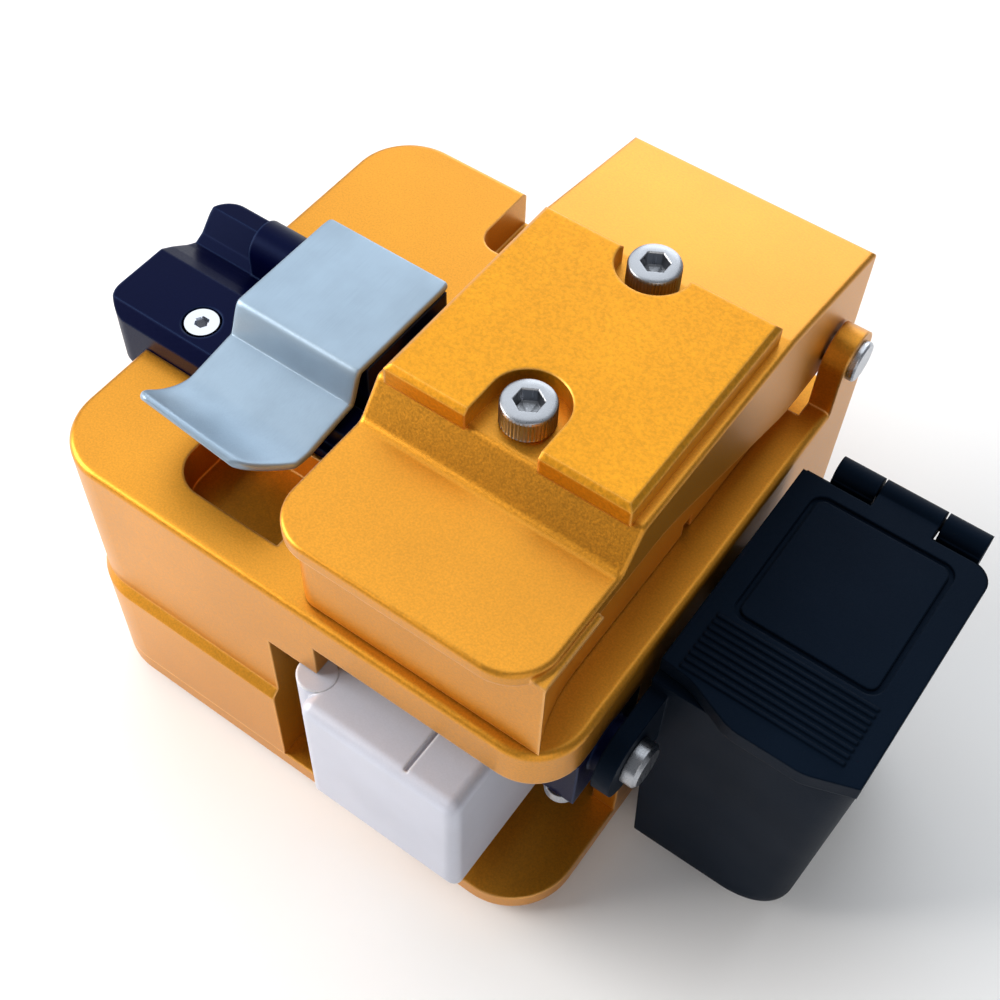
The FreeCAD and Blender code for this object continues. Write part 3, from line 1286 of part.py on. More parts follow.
def bin_parts():
    left, right = dim.base_width + dim.bin_left_gap, dim.bin_right
    front, rear = dim.bin_front, dim.bin_rear
    top = -dim.door_thick - dim.door_gap
    bottom = -dim.bin_height
    draft, wall = dim.bin_draft, dim.bin_wall
    body = new_body("bin_body")
    add_prism(body, "XZ", front, rear,
              [(left + draft, bottom), (right - draft, bottom), (right, top), (left, top)])
    round_edges(body, dim.bin_foot_radius, edges_at(body, x=right - draft, z=bottom))
    outer_corners = edges_at(body, y=front, test=leaning(right)) + edges_at(body, y=rear, test=leaning(right))
    round_edges(body, dim.bin_radius, outer_corners)
    inset = draft + wall
    cut_prism(body, "XZ", front + wall, rear - wall, [
        (left + inset, bottom + wall), (right - inset - dim.bin_foot_radius / 2, bottom + wall),
        (right - inset, bottom + wall + dim.bin_foot_radius / 2), (right - wall, top + 1),
        (left + wall, top + 1)])
    # ear that carries the bin on its pivot, and the hook that rests on the pin in the base
    y, z, radius = dim.bin_pivot_y, -dim.bin_pivot_z, dim.bin_ear_radius
    add_prism(body, "YZ", left, left + dim.bin_ear_thick, [
        (front + 4, z - radius), (front + 4, z + radius), (y, z + radius), (y - radius, z, -FLAT * radius),
        (y, z - radius, -FLAT * radius)])
    cut_round(body, "YZ", left - 1, left + dim.bin_ear_thick + 1, (y, z),
              dim.bin_pin_radius + dim.running_clear)
    rest = -dim.rest_pin_z + dim.rest_pin_radius + 0.05
    add_prism(body, "XY", rest, rest + 3, box_points(dim.base_width + 0.5, left + 2, dim.rest_pin_y - 3,
                                                     dim.rest_pin_y + 3))
    knuckle_parts(body, left, "outer")

    body = new_body("bin_door")
    low = -dim.door_thick
    door_rear = rear - dim.knuckle_radius - 0.3
    bends = [(left + 3.4, front + 1.0), (left + 9, front - dim.door_tongue),
             (right - 5, front - dim.door_tongue)]
    add_prism(body, "XY", low, 0, [(left, front + 1.3)] + bends + [
        (right, front + 0.5), (right, door_rear), (left, door_rear)])
    for bend_x, bend_y in bends:
        round_edges(body, dim.door_bend_radius, edges_at(body, x=bend_x, y=bend_y))
    round_edges(body, dim.bin_radius, edges_at(body, x=right, y=door_rear))
    panel_left, panel_front = left + dim.door_panel_left, front + dim.door_panel_front
    line = dim.door_panel_line
    bend, inner_bend = dim.door_panel_radius, dim.door_panel_radius - line
    outer = rounded_box(panel_left, panel_left + dim.door_panel_width, panel_front,
                        panel_front + dim.door_panel_length, (bend, bend, bend, bend))
    inner = rounded_box(panel_left + line, panel_left + dim.door_panel_width - line, panel_front + line,
                        panel_front + dim.door_panel_length - line,
                        (inner_bend, inner_bend, inner_bend, inner_bend))
    cut_prism(body, "XY", -dim.door_panel_depth, 0, outer)
    add_prism(body, "XY", -dim.door_panel_depth, 0, inner)
    rib_front = front + 1.6
    rib = add_prism(body, "XY", 0, dim.rib_height, box_points(left + 1.8, right - 2.4, rib_front,
                                                              rib_front + dim.rib_width))
    document.recompute()
    ribs = body.newObject("PartDesign::LinearPattern", "Ribs")
    ribs.Originals = [rib]
    ribs.Direction = (rib.Profile[0], ["V_Axis"])
    bind(ribs, "Length", dim.rib_pitch * (dim.rib_count - 1))
    bind(ribs, "Occurrences", dim.rib_count)
    body.Tip = ribs
    document.recompute()
    knuckle_parts(body, left, "inner")

    axis_y, axis_z = knuckle_axis()
    cylinder("bin_door_pin", "X", left + dim.knuckle_left + 0.2, right - dim.knuckle_right - 0.2,
             (axis_y, axis_z), dim.door_pin_radius)

    body = new_body("bin_bracket")
    inner_x = dim.base_width - dim.bracket_width
    low = -dim.flange_thick - dim.bracket_drop
    add_prism(body, "XY", low, -dim.flange_thick,
              box_points(inner_x, dim.base_width, dim.bracket_front, dim.corner_opening))
    add_round(body, "YZ", dim.base_width, left - 0.05, (y, z), dim.bin_pin_radius + 1.4)
    cut_round(body, "YZ", inner_x, left, (y, z), dim.bin_pin_radius + dim.screw_clear)
    for x, screw_y in bracket_screw_places():
        cut_round(body, "XY", low, -dim.flange_thick, (x, screw_y),
                  dim.carriage_screw_radius + dim.screw_clear)

    body = new_body("bin_pivot_screw")
    outer_x = left + dim.bin_ear_thick + 0.05
    head = dim.bin_pin_head
    turned(body, (0, y, z), "X", [
        (inner_x + 0.5, 0), (inner_x + 0.5, dim.bin_pin_radius), (outer_x, dim.bin_pin_radius),
        (outer_x, head),
        (outer_x + dim.bin_pin_head_thick - 0.4, head), (outer_x + dim.bin_pin_head_thick, head - 0.4),
        (outer_x + dim.bin_pin_head_thick, 0)])
    cylinder("bin_rest_pin", "X", bay_right, left + 0.6, (dim.rest_pin_y, -dim.rest_pin_z),
             dim.rest_pin_radius)
    group = []
    for number, (x, screw_y) in enumerate(bracket_screw_places()):
        group.append(hanging_screw("bracket_screw_%d" % number, low, (x, screw_y), dim.bracket_drop + 3.5,
                                   dim.screw_head_thick))
    join_group("bracket_screws", group)
    group = []
    for number, (x, screw_y) in enumerate(cover_screw_places()):
        seat = -dim.base_height - dim.plate_thick + 1.6
        group.append(hanging_screw("cover_screw_%d" % number, seat, (x, screw_y), dim.plate_screw_length,
                                   dim.screw_head_thick))
    join_group("bottom_plate_screws", group)


def hanging_screw(label, seat, centre, length, head):
    """Like plain_screw, with its head below the seat and its shank above."""
    shank = document.addObject("Part::Cylinder", label + "_shank")
    bind(shank, "Height", length)
    bind(shank, "Radius", dim.carriage_screw_radius)
    place_cylinder(shank, "Z", seat, centre)
    cap = document.addObject("Part::Cylinder", label + "_head")
    bind(cap, "Height", head)
    bind(cap, "Radius", dim.carriage_screw_head)
    place_cylinder(cap, "Z", as_size(seat) - head, centre)
    screw = document.addObject("Part::Fuse", label)
    screw.Base = shank
    screw.Tool = cap
    return screw


def knuckle_axis():
    return dim.bin_rear + dim.knuckle_offset, -dim.door_thick / 2


def knuckle_parts(body, left, kind):
    """The bin has a knuckle at each end of the hinge and the door has the long one between."""
    axis_y, axis_z = knuckle_axis()
    radius, width = dim.knuckle_radius, dim.knuckle_width
    start, end = left + dim.knuckle_left, dim.bin_right - dim.knuckle_right
    gap = 0.25
    if kind == "outer":
        spans = [(start, start + width), (end - width, end)]
        foot = -dim.door_thick - dim.door_gap - 5
        web = [(dim.bin_rear - 0.5, foot), (dim.bin_rear, foot), (axis_y + radius, axis_z),
               (dim.bin_rear - 0.5, axis_z)]
    else:
        spans = [(start + width + gap, end - width - gap)]
        front = dim.bin_rear - radius - 1
        web = box_points(front, axis_y, -dim.door_thick, 0)
    for low, high in spans:
        add_prism(body, "YZ", low, high, web)
        add_round(body, "YZ", low, high, (axis_y, axis_z), radius)
    bore = dim.door_pin_radius + (dim.screw_clear if kind == "outer" else dim.running_clear)
    cut_round(body, "YZ", start - 1, end + 1, (axis_y, axis_z), bore)


def write_parts():
    document.recompute()
    for item in document.Objects:
        if "Invalid" in item.State or "Error" in item.State:
            raise ValueError("%s (%s) failed: %s" % (item.Label, item.TypeId, item.State))
    for part in PARTS:
        shape = part.Shape
        if shape.isNull() or not shape.isValid() or shape.Volume <= 0:
            raise ValueError("the shape of %s is not sound" % part.Label)
    os.makedirs("parts", exist_ok=True)
    for part in PARTS:
        part.Shape.exportStep("parts/%s.step" % part.Label)
    print("%d sub-parts written" % len(PARTS))


base_housing()
bottom_plate()
base_pad()
lid()
lid_cover()
cap_screw("cover_screw_front", dim.front_screw_y)
cap_screw("cover_screw_rear", dim.rear_screw_y)
lid_press_gear()
lower_clamps()
hinge_shaft()
carriage()
blade()
fibre_adapter()
adapter_clamp()
bin_parts()
write_parts()
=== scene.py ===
import math

import bmesh
import bpy
import numpy as np
from bpy.props import FloatProperty, FloatVectorProperty, IntProperty, PointerProperty
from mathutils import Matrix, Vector


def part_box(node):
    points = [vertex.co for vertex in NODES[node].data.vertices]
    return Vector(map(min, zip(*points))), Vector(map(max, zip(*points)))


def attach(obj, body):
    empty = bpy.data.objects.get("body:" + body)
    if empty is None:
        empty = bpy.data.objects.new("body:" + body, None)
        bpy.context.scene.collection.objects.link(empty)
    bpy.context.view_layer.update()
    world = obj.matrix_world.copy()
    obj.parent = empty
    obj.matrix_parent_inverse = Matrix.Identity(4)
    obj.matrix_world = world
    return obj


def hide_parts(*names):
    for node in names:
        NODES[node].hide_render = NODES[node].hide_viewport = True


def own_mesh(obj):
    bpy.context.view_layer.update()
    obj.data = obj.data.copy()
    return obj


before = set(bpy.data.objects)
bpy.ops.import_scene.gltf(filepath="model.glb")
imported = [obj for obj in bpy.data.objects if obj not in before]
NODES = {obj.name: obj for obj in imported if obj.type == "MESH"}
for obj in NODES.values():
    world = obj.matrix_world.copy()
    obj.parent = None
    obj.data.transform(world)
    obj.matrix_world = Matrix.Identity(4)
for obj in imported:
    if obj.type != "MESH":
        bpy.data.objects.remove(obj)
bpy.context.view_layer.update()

bl_info = {
    "name": "Fibre cleaver dresser",
    "version": (1, 0, 0),
    "blender": (4, 5, 0),
    "location": "View3D > Sidebar > Cleaver",
    "description": "Dresses the cleaver's frame with its finishes, springs, screws, lever and stage",
    "category": "Object",
}

MM = 0.001


# ---------------------------------------------------------------- colours

def linear(code):
    """sRGB hex to the linear colour that shaders use."""
    values = []
    for start in (1, 3, 5):
        share = int(code[start:start + 2], 16) / 255
        values.append(share / 12.92 if share <= 0.04045 else ((share + 0.055) / 1.055) ** 2.4)
    return (*values, 1.0)


def colour_setting(label, code, about):
    return FloatVectorProperty(name=label, description=about, default=linear(code), size=4, min=0.0,
                               max=1.0, subtype="COLOR")


def length_setting(label, millimetres, about):
    return FloatProperty(name=label, description=about, default=millimetres * MM, min=0.0, precision=5,
                         subtype="DISTANCE", unit="LENGTH")


# ---------------------------------------------------------------- settings

class FinishSettings(bpy.types.PropertyGroup):
    gold: colour_setting("Gold", "#CE8B21", "Dye of the milled housings")
    # Each edge colour below is painted along the edges: partly wear, partly a painted highlight.
    gold_edge_wear_and_highlight: colour_setting("Gold edge", "#FFC57A", "Worn edges of the housings")
    plate_gold: colour_setting("Plate gold", "#D18D17", "Dye of the cover plate")
    plate_edge_wear_and_highlight: colour_setting("Plate edge", "#FFC060", "Worn edges of the cover plate")
    silver: colour_setting("Silver", "#C4C7D4", "Clear anodised carriage parts")
    silver_edge_wear_and_highlight: colour_setting("Silver edge", "#F6F6F8", "Worn edges of the carriage parts")
    black: colour_setting("Black anodise", "#020424", "Adapter and bracket")
    black_edge_wear_and_highlight: colour_setting("Black edge", "#2A3A5C", "Worn edges of the adapter and bracket")
    black_sheen: colour_setting("Black sheen", "#7FA6FF", "Tint of the adapter's highlights")
    steel: colour_setting("Steel", "#B9BCC2", "Pins, rail, screws and springs")
    # Near black pin: a painted shade for the gaps between the bin door's hinge knuckles.
    pin_painted_shade: colour_setting("Pin painted shade", "#0C0E13", "Hinge pin of the bin's door")
    sheet_steel: colour_setting("Sheet steel", "#91A4B5", "Clamp lever")
    plastic: colour_setting("Black plastic", "#060E18", "Bin and its door")
    rubber: colour_setting("Black rubber", "#121214", "Pads below the base and in the clamp")
    pale_rubber: colour_setting("Pale rubber", "#D8D5CB", "Fibre pads")
    moulded_sheen: colour_setting("Moulded sheen", "#8ABBFF", "Tint of the highlights on moulded pieces")
    grit: length_setting("Blast grit", 0.22, "Spacing of the dimples that bead blasting leaves")
    broken_edge: length_setting("Broken edge", 0.45, "Rounding that tumbling leaves on the milled edges")


class LeverSettings(bpy.types.PropertyGroup):
    thickness: length_setting("Sheet thickness", 0.9, "Thickness of the lever's sheet")
    lead: length_setting("Lead", 0.8, "How far the upper flat passes the clamp's front")
    ramp: length_setting("Ramp", 2.0, "Run of the bend from the upper flat to the lower one")
    flat: length_setting("Lower flat", 6.4, "Length of the lower flat before the curl")
    curl: length_setting("Curl rise", 3.0, "Height of the turned-up tip over the lower flat")
    dip: length_setting("Dip", 0.9, "How far the lower flat slopes down towards the curl")
    flare: length_setting("Flare", 0.4, "How far the finger tip reaches out at the left")
    corner: length_setting("Corner radius", 2.0, "Rounding of the lever's plan corners")
    chamfer: length_setting("Chamfer", 3.3, "Corner taken off the tip at the right")
    twist: FloatProperty(name="Twist", default=0.5, min=0.0, max=1.0,
                         description="How much higher the curl stands at the left than at the right, "
                         "as a share of its rise")


class ScrewSettings(bpy.types.PropertyGroup):
    knurls: IntProperty(name="Knurls", description="Teeth round a socket screw's head", default=44, min=12,
                        max=90)
    knurl_depth: length_setting("Knurl depth", 0.09, "Depth of the teeth round the head")
    hexagon: length_setting("Hexagon", 2.5, "Width of the socket across its flats")


class SpringSettings(bpy.types.PropertyGroup):
    return_wire: length_setting("Return wire", 0.4, "Wire thickness of the carriage's return spring")
    press_wire: length_setting("Press wire", 0.4, "Wire thickness of the lid's small springs")


class StageSettings(bpy.types.PropertyGroup):
    floor: colour_setting("Floor", "#FAFAFA", "Plain pale floor")
    sky: colour_setting("Room", "#EEF1F6", "Soft light of the room")
    sky_strength: FloatProperty(name="Room strength", description="Strength of the room's light",
                                default=0.3, min=0.0, max=5.0)
    lens: FloatProperty(name="Lens", description="Focal length in millimetres", default=53.42, min=10.0,
                        max=200.0)


# ---------------------------------------------------------------- meshes

def mesh_from_grid(name, grid, closed_around=True):
    """Joins a grid of points (rows, columns, 3) with quads. When closed_around, the columns close
    on themselves, and the first and last rows are closed with one face each."""
    rows, columns = grid.shape[:2]
    index = np.arange(rows * columns).reshape(rows, columns)
    ahead = np.roll(index, -1, axis=1) if closed_around else index[:, 1:]
    here = index if closed_around else index[:, :-1]
    quads = np.stack([here[:-1], ahead[:-1], ahead[1:], here[1:]], axis=-1).reshape(-1, 4)
    faces = quads.tolist()
    if closed_around:
        faces.append(index[0][::-1].tolist())
        faces.append(index[-1].tolist())
    mesh = bpy.data.meshes.new(name)
    mesh.from_pydata(grid.reshape(-1, 3).tolist(), [], faces)
    mesh.validate()
    mesh.update()
    piece = bpy.data.objects.new(name, mesh)
    bpy.context.scene.collection.objects.link(piece)
    return piece


def outward(piece):
    """Points every face outwards on a closed piece."""
    work = bmesh.new()
    work.from_mesh(piece.data)
    bmesh.ops.recalc_face_normals(work, faces=work.faces)
    work.to_mesh(piece.data)
    work.free()
    return piece


def smooth(piece, degrees=35.0):
    """Smooth shading with the edges sharper than the angle kept sharp."""
    mesh = piece.data
    mesh.polygons.foreach_set("use_smooth", np.ones(len(mesh.polygons), dtype=bool))
    mesh.set_sharp_from_angle(angle=math.radians(degrees))
    return piece


# ---------------------------------------------------------------- materials

BEVEL_SAMPLES = 6
SHEET_EDGE = 0.15 * MM
MOULDED_EDGE = 0.3 * MM
DIMPLE_DEPTH = 0.02 * MM
LINE_DEPTH = 0.01 * MM
# width of the patches in which dye, ground sheet, moulded colour and moulded gloss drift
DYE_PATCH = 14 * MM
SHEET_PATCH = 6 * MM
MOULDED_PATCH = 10 * MM
GLOSS_PATCH = 18 * MM
# a ground line is this many times as long as it is wide
LINE_LENGTH = 40
# share of the dye that the paler edge colour replaces along the broken edges: partly wear, partly a painted
# highlight
EDGE_WEAR_AND_HIGHLIGHT = 0.8
# a noise hardly ever leaves this range, so what is mapped from one starts and ends here
NOISE_RANGE = {"From Min": 0.3, "From Max": 0.7}


def add_node(tree, kind, settings=None, links=None):
    """Adds one shader node, sets its properties and sockets and links its inputs."""
    node = tree.nodes.new(kind)
    for key, value in (settings or {}).items():
        if isinstance(key, int) or key in node.inputs:
            node.inputs[key].default_value = value
        else:
            setattr(node, key, value)
    for key, source in (links or {}).items():
        tree.links.new(source, node.inputs[key])
    return node


def start_material(name, **shader):
    """A material whose Principled shader has the given plain sockets; returns it with its parts."""
    material = bpy.data.materials.new(name)
    material.use_nodes = True
    tree = material.node_tree
    principled = tree.nodes["Principled BSDF"]
    for socket, value in shader.items():
        principled.inputs[socket.replace("_", " ")].default_value = value
    place = add_node(tree, "ShaderNodeTexCoord").outputs["Object"]
    return material, tree, principled, place


def tint(colour, factor):
    """The colour made lighter or darker by a factor."""
    return tuple(min(1.0, c * factor) for c in colour[:3]) + (1.0,)


def colour_drift(tree, place, colour, size, low, high):
    """Slow variation of a colour between two shares of itself over patches of the given size."""
    noise = add_node(tree, "ShaderNodeTexNoise", {"Scale": 1 / size, "Detail": 3.0}, {"Vector": place})
    ramp = add_node(tree, "ShaderNodeValToRGB", links={"Fac": noise.outputs["Fac"]})
    first, last = ramp.color_ramp.elements
    first.position, last.position = 0.35, 0.65
    first.color, last.color = tint(colour, low), tint(colour, high)
    return ramp.outputs["Color"]


def broken_edges(tree, radius):
    """The normal with every edge rounded by the radius, and a share that is 1 along the edges and
    0 on the flats: how far the rounded normal leans from the flat one."""
    bevel = add_node(tree, "ShaderNodeBevel", {"samples": BEVEL_SAMPLES, "Radius": radius})
    rounded = bevel.outputs["Normal"]
    flat = add_node(tree, "ShaderNodeNewGeometry").outputs["Normal"]
    lean = add_node(tree, "ShaderNodeVectorMath", {"operation": "DOT_PRODUCT"}, {0: rounded, 1: flat})
    share = add_node(tree, "ShaderNodeMapRange",
                     {"From Min": 0.995, "From Max": 0.8, "To Min": 0.0, "To Max": 1.0},
                     {"Value": lean.outputs["Value"]})
    return rounded, share.outputs["Result"]


def blasted_anodise(name, colour, edge_wear_and_highlight_colour, grit, edge, metal, roughness, bump, level=0.5, spread=0.09,
                    coat=0.0, sheen=(1.0, 1.0, 1.0, 1.0)):
    """Bead-blasted and dyed aluminium: a fine even sparkle from the blast dimples, soft broad
    highlights, no direction of machining, and a paler colour along the broken edges, partly wear and partly a
    painted highlight."""
    material, tree, shader, place = start_material(
        name, Metallic=metal, Specular_IOR_Level=level, Coat_Weight=coat, Coat_Roughness=0.3,
        Specular_Tint=sheen)
    fine = add_node(tree, "ShaderNodeTexNoise", {"Scale": 1 / grit, "Detail": 2.0, "Roughness": 0.6},
                    {"Vector": place}).outputs["Fac"]
    rounded, share = broken_edges(tree, edge)
    dye = colour_drift(tree, place, colour, DYE_PATCH, 0.95, 1.03)
    fleck = add_node(tree, "ShaderNodeMapRange", {**NOISE_RANGE, "To Min": 1 - spread, "To Max": 1 + spread},
                     {"Value": fine})
    grained = add_node(tree, "ShaderNodeVectorMath", {"operation": "SCALE"},
                       {0: dye, "Scale": fleck.outputs["Result"]})
    # along the edges the dye gives way to a paler colour: partly wear, partly a painted highlight
    edge_wear_and_highlight = add_node(tree, "ShaderNodeMath", {"operation": "MULTIPLY", 1: EDGE_WEAR_AND_HIGHLIGHT}, {0: share})
    mixed = add_node(tree, "ShaderNodeMix", {"data_type": "RGBA", "B": edge_wear_and_highlight_colour},
                     {"Factor": edge_wear_and_highlight.outputs["Value"], "A": grained.outputs["Vector"]})
    gloss = add_node(tree, "ShaderNodeMapRange",
                     {**NOISE_RANGE, "To Min": roughness - 0.05, "To Max": roughness + 0.06},
                     {"Value": fine})
    relief = add_node(tree, "ShaderNodeBump", {"Strength": bump, "Distance": DIMPLE_DEPTH},
                      {"Height": fine, "Normal": rounded})
    tree.links.new(mixed.outputs["Result"], shader.inputs["Base Color"])
    tree.links.new(gloss.outputs["Result"], shader.inputs["Roughness"])
    tree.links.new(relief.outputs["Normal"], shader.inputs["Normal"])
    return material


def brushed_metal(name, colour, along, grain, roughness, metal=1.0):
    """Sheet or bar metal ground in one direction: long fine lines that spread the highlight
    across them. The lines run along the given axis and lie a grain apart."""
    material, tree, shader, place = start_material(name, Metallic=metal)
    stretch = [1 / grain if axis != along else 1 / (grain * LINE_LENGTH) for axis in range(3)]
    mapping = add_node(tree, "ShaderNodeMapping", {"Scale": stretch}, {"Vector": place})
    lines = add_node(tree, "ShaderNodeTexNoise", {"Scale": 1.0, "Detail": 3.0},
                     {"Vector": mapping.outputs["Vector"]}).outputs["Fac"]
    rounded = add_node(tree, "ShaderNodeBevel", {"samples": BEVEL_SAMPLES, "Radius": SHEET_EDGE})
    gloss = add_node(tree, "ShaderNodeMapRange",
                     {**NOISE_RANGE, "To Min": roughness - 0.06, "To Max": roughness + 0.1},
                     {"Value": lines})
    relief = add_node(tree, "ShaderNodeBump", {"Strength": 0.25, "Distance": LINE_DEPTH},
                      {"Height": lines, "Normal": rounded.outputs["Normal"]})
    tree.links.new(colour_drift(tree, place, colour, SHEET_PATCH, 0.92, 1.04), shader.inputs["Base Color"])
    tree.links.new(gloss.outputs["Result"], shader.inputs["Roughness"])
    tree.links.new(relief.outputs["Normal"], shader.inputs["Normal"])
    return material


def moulded_material(name, colour, sheen, grain, roughness, bump, level=0.5):
    """Moulded polymer: a fine spark-eroded grain from the mould and an even satin gloss."""
    material, tree, shader, place = start_material(name, Specular_IOR_Level=level, Specular_Tint=sheen)
    cells = add_node(tree, "ShaderNodeTexVoronoi", {"Scale": 1 / grain}, {"Vector": place})
    patch = add_node(tree, "ShaderNodeTexNoise", {"Scale": 1 / GLOSS_PATCH, "Detail": 3.0}, {"Vector": place})
    rounded = add_node(tree, "ShaderNodeBevel", {"samples": BEVEL_SAMPLES, "Radius": MOULDED_EDGE})
    gloss = add_node(tree, "ShaderNodeMapRange",
                     {**NOISE_RANGE, "To Min": roughness - 0.05, "To Max": roughness + 0.07},
                     {"Value": patch.outputs["Fac"]})
    relief = add_node(tree, "ShaderNodeBump", {"Strength": bump, "Distance": DIMPLE_DEPTH},
                      {"Height": cells.outputs["Distance"], "Normal": rounded.outputs["Normal"]})
    tree.links.new(colour_drift(tree, place, colour, MOULDED_PATCH, 0.88, 1.1), shader.inputs["Base Color"])
    tree.links.new(gloss.outputs["Result"], shader.inputs["Roughness"])
    tree.links.new(relief.outputs["Normal"], shader.inputs["Normal"])
    return material


FINISHES = {}


def finish(piece, name):
    """Gives a piece one finish and nothing else."""
    piece.data.materials.clear()
    piece.data.materials.append(FINISHES[name])


FINISH_OF_NODE = {
    "gold": ("base_housing", "bottom_plate", "lid"),
    "plate gold": ("lid_cover",),
    "silver": ("carriage_handle", "slider_block", "blade_arm", "press_carrier", "press_yoke",
               "lower_clamp_left", "lower_clamp_right"),
    "black anodise": ("fibre_adapter", "clamp_body", "bin_bracket"),
    "turned steel": ("hinge_shaft", "clamp_pin", "anvil_rod", "bin_rest_pin", "shaft_ring", "height_screw"),
    # the door pin is coloured near black as a painted shade in the hinge gaps
    "pin painted shade": ("bin_door_pin",),
    "ground steel": ("bearing_block", "linear_rail", "blade_wheel"),
    "zinc": ("handle_screws", "rail_screws", "bracket_screws", "bottom_plate_screws", "bin_pivot_screw",
             "blade_screw"),
    "black plastic": ("bin_body", "bin_door"),
    "nickel": ("deck_magnet", "lid_magnet", "adapter_magnet", "clamp_keeper"),
    "black rubber": ("base_pad", "clamp_pad"),
    "pale rubber": ("lower_pad_left", "lower_pad_right", "press_pad_left", "press_pad_right", "anvil_tip"),
}


class CLEAVER_OT_finishes(bpy.types.Operator):
    """Makes the finishes and gives each carried-over node its own"""
    bl_idname = "cleaver.finishes"
    bl_label = "Finishes"

    def execute(self, context):
        look = context.scene.cleaver_finish
        self.anodise(look, look.broken_edge)
        self.metals(look, look.steel[:])
        self.polymers(look, look.moulded_sheen[:])
        for name, nodes in FINISH_OF_NODE.items():
            for node in nodes:
                finish(NODES[node], name)
        return {"FINISHED"}

    def anodise(self, look, edge):
        # Real blast dimples are about 0.08 mm apart. All four are drawn coarser, so that they show.
        # Housings: a warm satin gold that sparkles finely, with a painted highlight along the edges that
        # stands partly for wear.
        FINISHES["gold"] = blasted_anodise(
            "anodised_aluminium_gold", look.gold[:], look.gold_edge_wear_and_highlight[:], look.grit, edge,
            metal=0.88, roughness=0.4, bump=0.6, spread=0.13, coat=0.24)
        # Cover plate: a deeper gold, blasted with coarser beads, so it looks grainier than the lid.
        FINISHES["plate gold"] = blasted_anodise(
            "anodised_aluminium_deep_gold", look.plate_gold[:], look.plate_edge_wear_and_highlight[:], look.grit * 1.6, edge,
            metal=0.75, roughness=0.4, bump=0.9, spread=0.16)
        # Carriage: undyed, so a pale matt grey that hardly mirrors anything.
        FINISHES["silver"] = blasted_anodise(
            "anodised_aluminium_clear", look.silver[:], look.silver_edge_wear_and_highlight[:], look.grit * 0.8, edge,
            metal=0.2, roughness=0.45, bump=0.3, spread=0.03)
        # Adapter: the dye hides the metal, which leaves a blue-black with dim bluish highlights.
        FINISHES["black anodise"] = blasted_anodise(
            "anodised_aluminium_black", look.black[:], look.black_edge_wear_and_highlight[:], look.grit, edge,
            metal=0.0, roughness=0.36, bump=0.4, level=0.09, sheen=look.black_sheen[:])

    def metals(self, look, steel):
        # Real grinding and turning lines are about 0.02 mm apart. All are drawn coarser, so that they show.
        # Turned pins: bright, with fine rings that soften the mirror image.
        FINISHES["turned steel"] = brushed_metal("stainless_bar_turned", steel, 1, 0.08 * MM, 0.28)
        # Door pin: near black, a painted shade that keeps the gaps between the hinge knuckles dark, with only
        # a dull gleam left.
        FINISHES["pin painted shade"] = brushed_metal("steel_pin_painted_shade", look.pin_painted_shade[:], 1, 0.08 * MM,
                                                0.45, metal=0.8)
        # Rail and wheel: ground finer than the pins, so the clearest mirror of them all.
        FINISHES["ground steel"] = brushed_metal("bearing_steel_ground", steel, 1, 0.06 * MM, 0.22)
        # Lever: matt sheet whose lines run from the clamp to the finger tip.
        FINISHES["sheet steel"] = brushed_metal("stainless_sheet_brushed", look.sheet_steel[:], 1, 0.1 * MM,
                                                0.44, metal=0.7)
        # Screws: plated, a little darker than bare steel.
        FINISHES["zinc"] = brushed_metal("zinc_plated_steel", tint(steel, 0.72), 2, 0.12 * MM, 0.3)
        # Springs: drawn wire, greyer than the pins and glossy.
        FINISHES["spring wire"] = brushed_metal("music_wire", tint(steel, 0.85), 0, 0.1 * MM, 0.25)
        # Magnets: nickel plate, smooth and slightly brighter than steel.
        FINISHES["nickel"] = brushed_metal("nickel_plated_magnet", tint(steel, 1.05), 0, 0.2 * MM, 0.24)

    def polymers(self, look, sheen):
        # Real mould grain is about 0.08 mm across. All three are drawn coarser, so that it shows.
        # Bin: near black, with a soft bluish satin.
        FINISHES["black plastic"] = moulded_material("moulded_abs_black", look.plastic[:], sheen, 0.22 * MM,
                                                     0.55, 0.35, 0.11)
        # Dark pads: dull, with almost no highlight.
        FINISHES["black rubber"] = moulded_material("moulded_rubber_black", look.rubber[:], sheen, 0.3 * MM,
                                                    0.75, 0.5, 0.3)
        # Fibre pads: pale silicone, matt and even.
        FINISHES["pale rubber"] = moulded_material("silicone_pad_pale", look.pale_rubber[:], sheen, 0.25 * MM,
                                                   0.6, 0.3, 0.4)


# ---------------------------------------------------------------- springs

def coil(name, start, end, radius, wire, turns, sides=10, steps=28):
    """A compression spring: a circle of the wire's radius carried along a helix whose pitch
    closes up over the first and last turn. p(t) = R (cos a, sin a) + axis * climb(t)."""
    start, end = np.array(start), np.array(end)
    axis = end - start
    length = np.linalg.norm(axis)
    axis = axis / length
    aslant = [0.3, 0.5, 0.8]
    across = np.cross(axis, aslant)
    across = across / np.linalg.norm(across)
    over = np.cross(axis, across)
    share = np.linspace(0, 1, int(turns * steps) + 1)
    angle = share * turns * 2 * math.pi
    end_turn = 1 / turns
    edges = np.array([0, end_turn, 1 - end_turn, 1])
    climbs = np.array([wire / 2, wire * 1.5, length - wire * 1.5, length - wire / 2])
    climb = np.interp(share, edges, climbs)
    middle = radius - wire / 2
    out = np.cos(angle)[:, None] * across + np.sin(angle)[:, None] * over
    path = start + out * middle + climb[:, None] * axis
    turn = np.linspace(0, 2 * math.pi, sides, endpoint=False)
    ring = out[:, None, :] * np.cos(turn)[None, :, None] + axis * np.sin(turn)[None, :, None]
    piece = mesh_from_grid(name, path[:, None, :] + ring * wire / 2)
    finish(piece, "spring wire")
    return smooth(outward(piece))


# node, the body that holds it, the joint that presses it, number of turns, axis it lies along
SPRINGS = (
    ("return_spring", "base", "carriage_slide", 17, 1),
    ("press_spring_left", "lid", "press_yoke_slide", 5, 2),
    ("press_spring_right", "lid", "press_yoke_slide", 5, 2),
    ("anvil_spring", "lid", "anvil_slide", 4, 2),
)


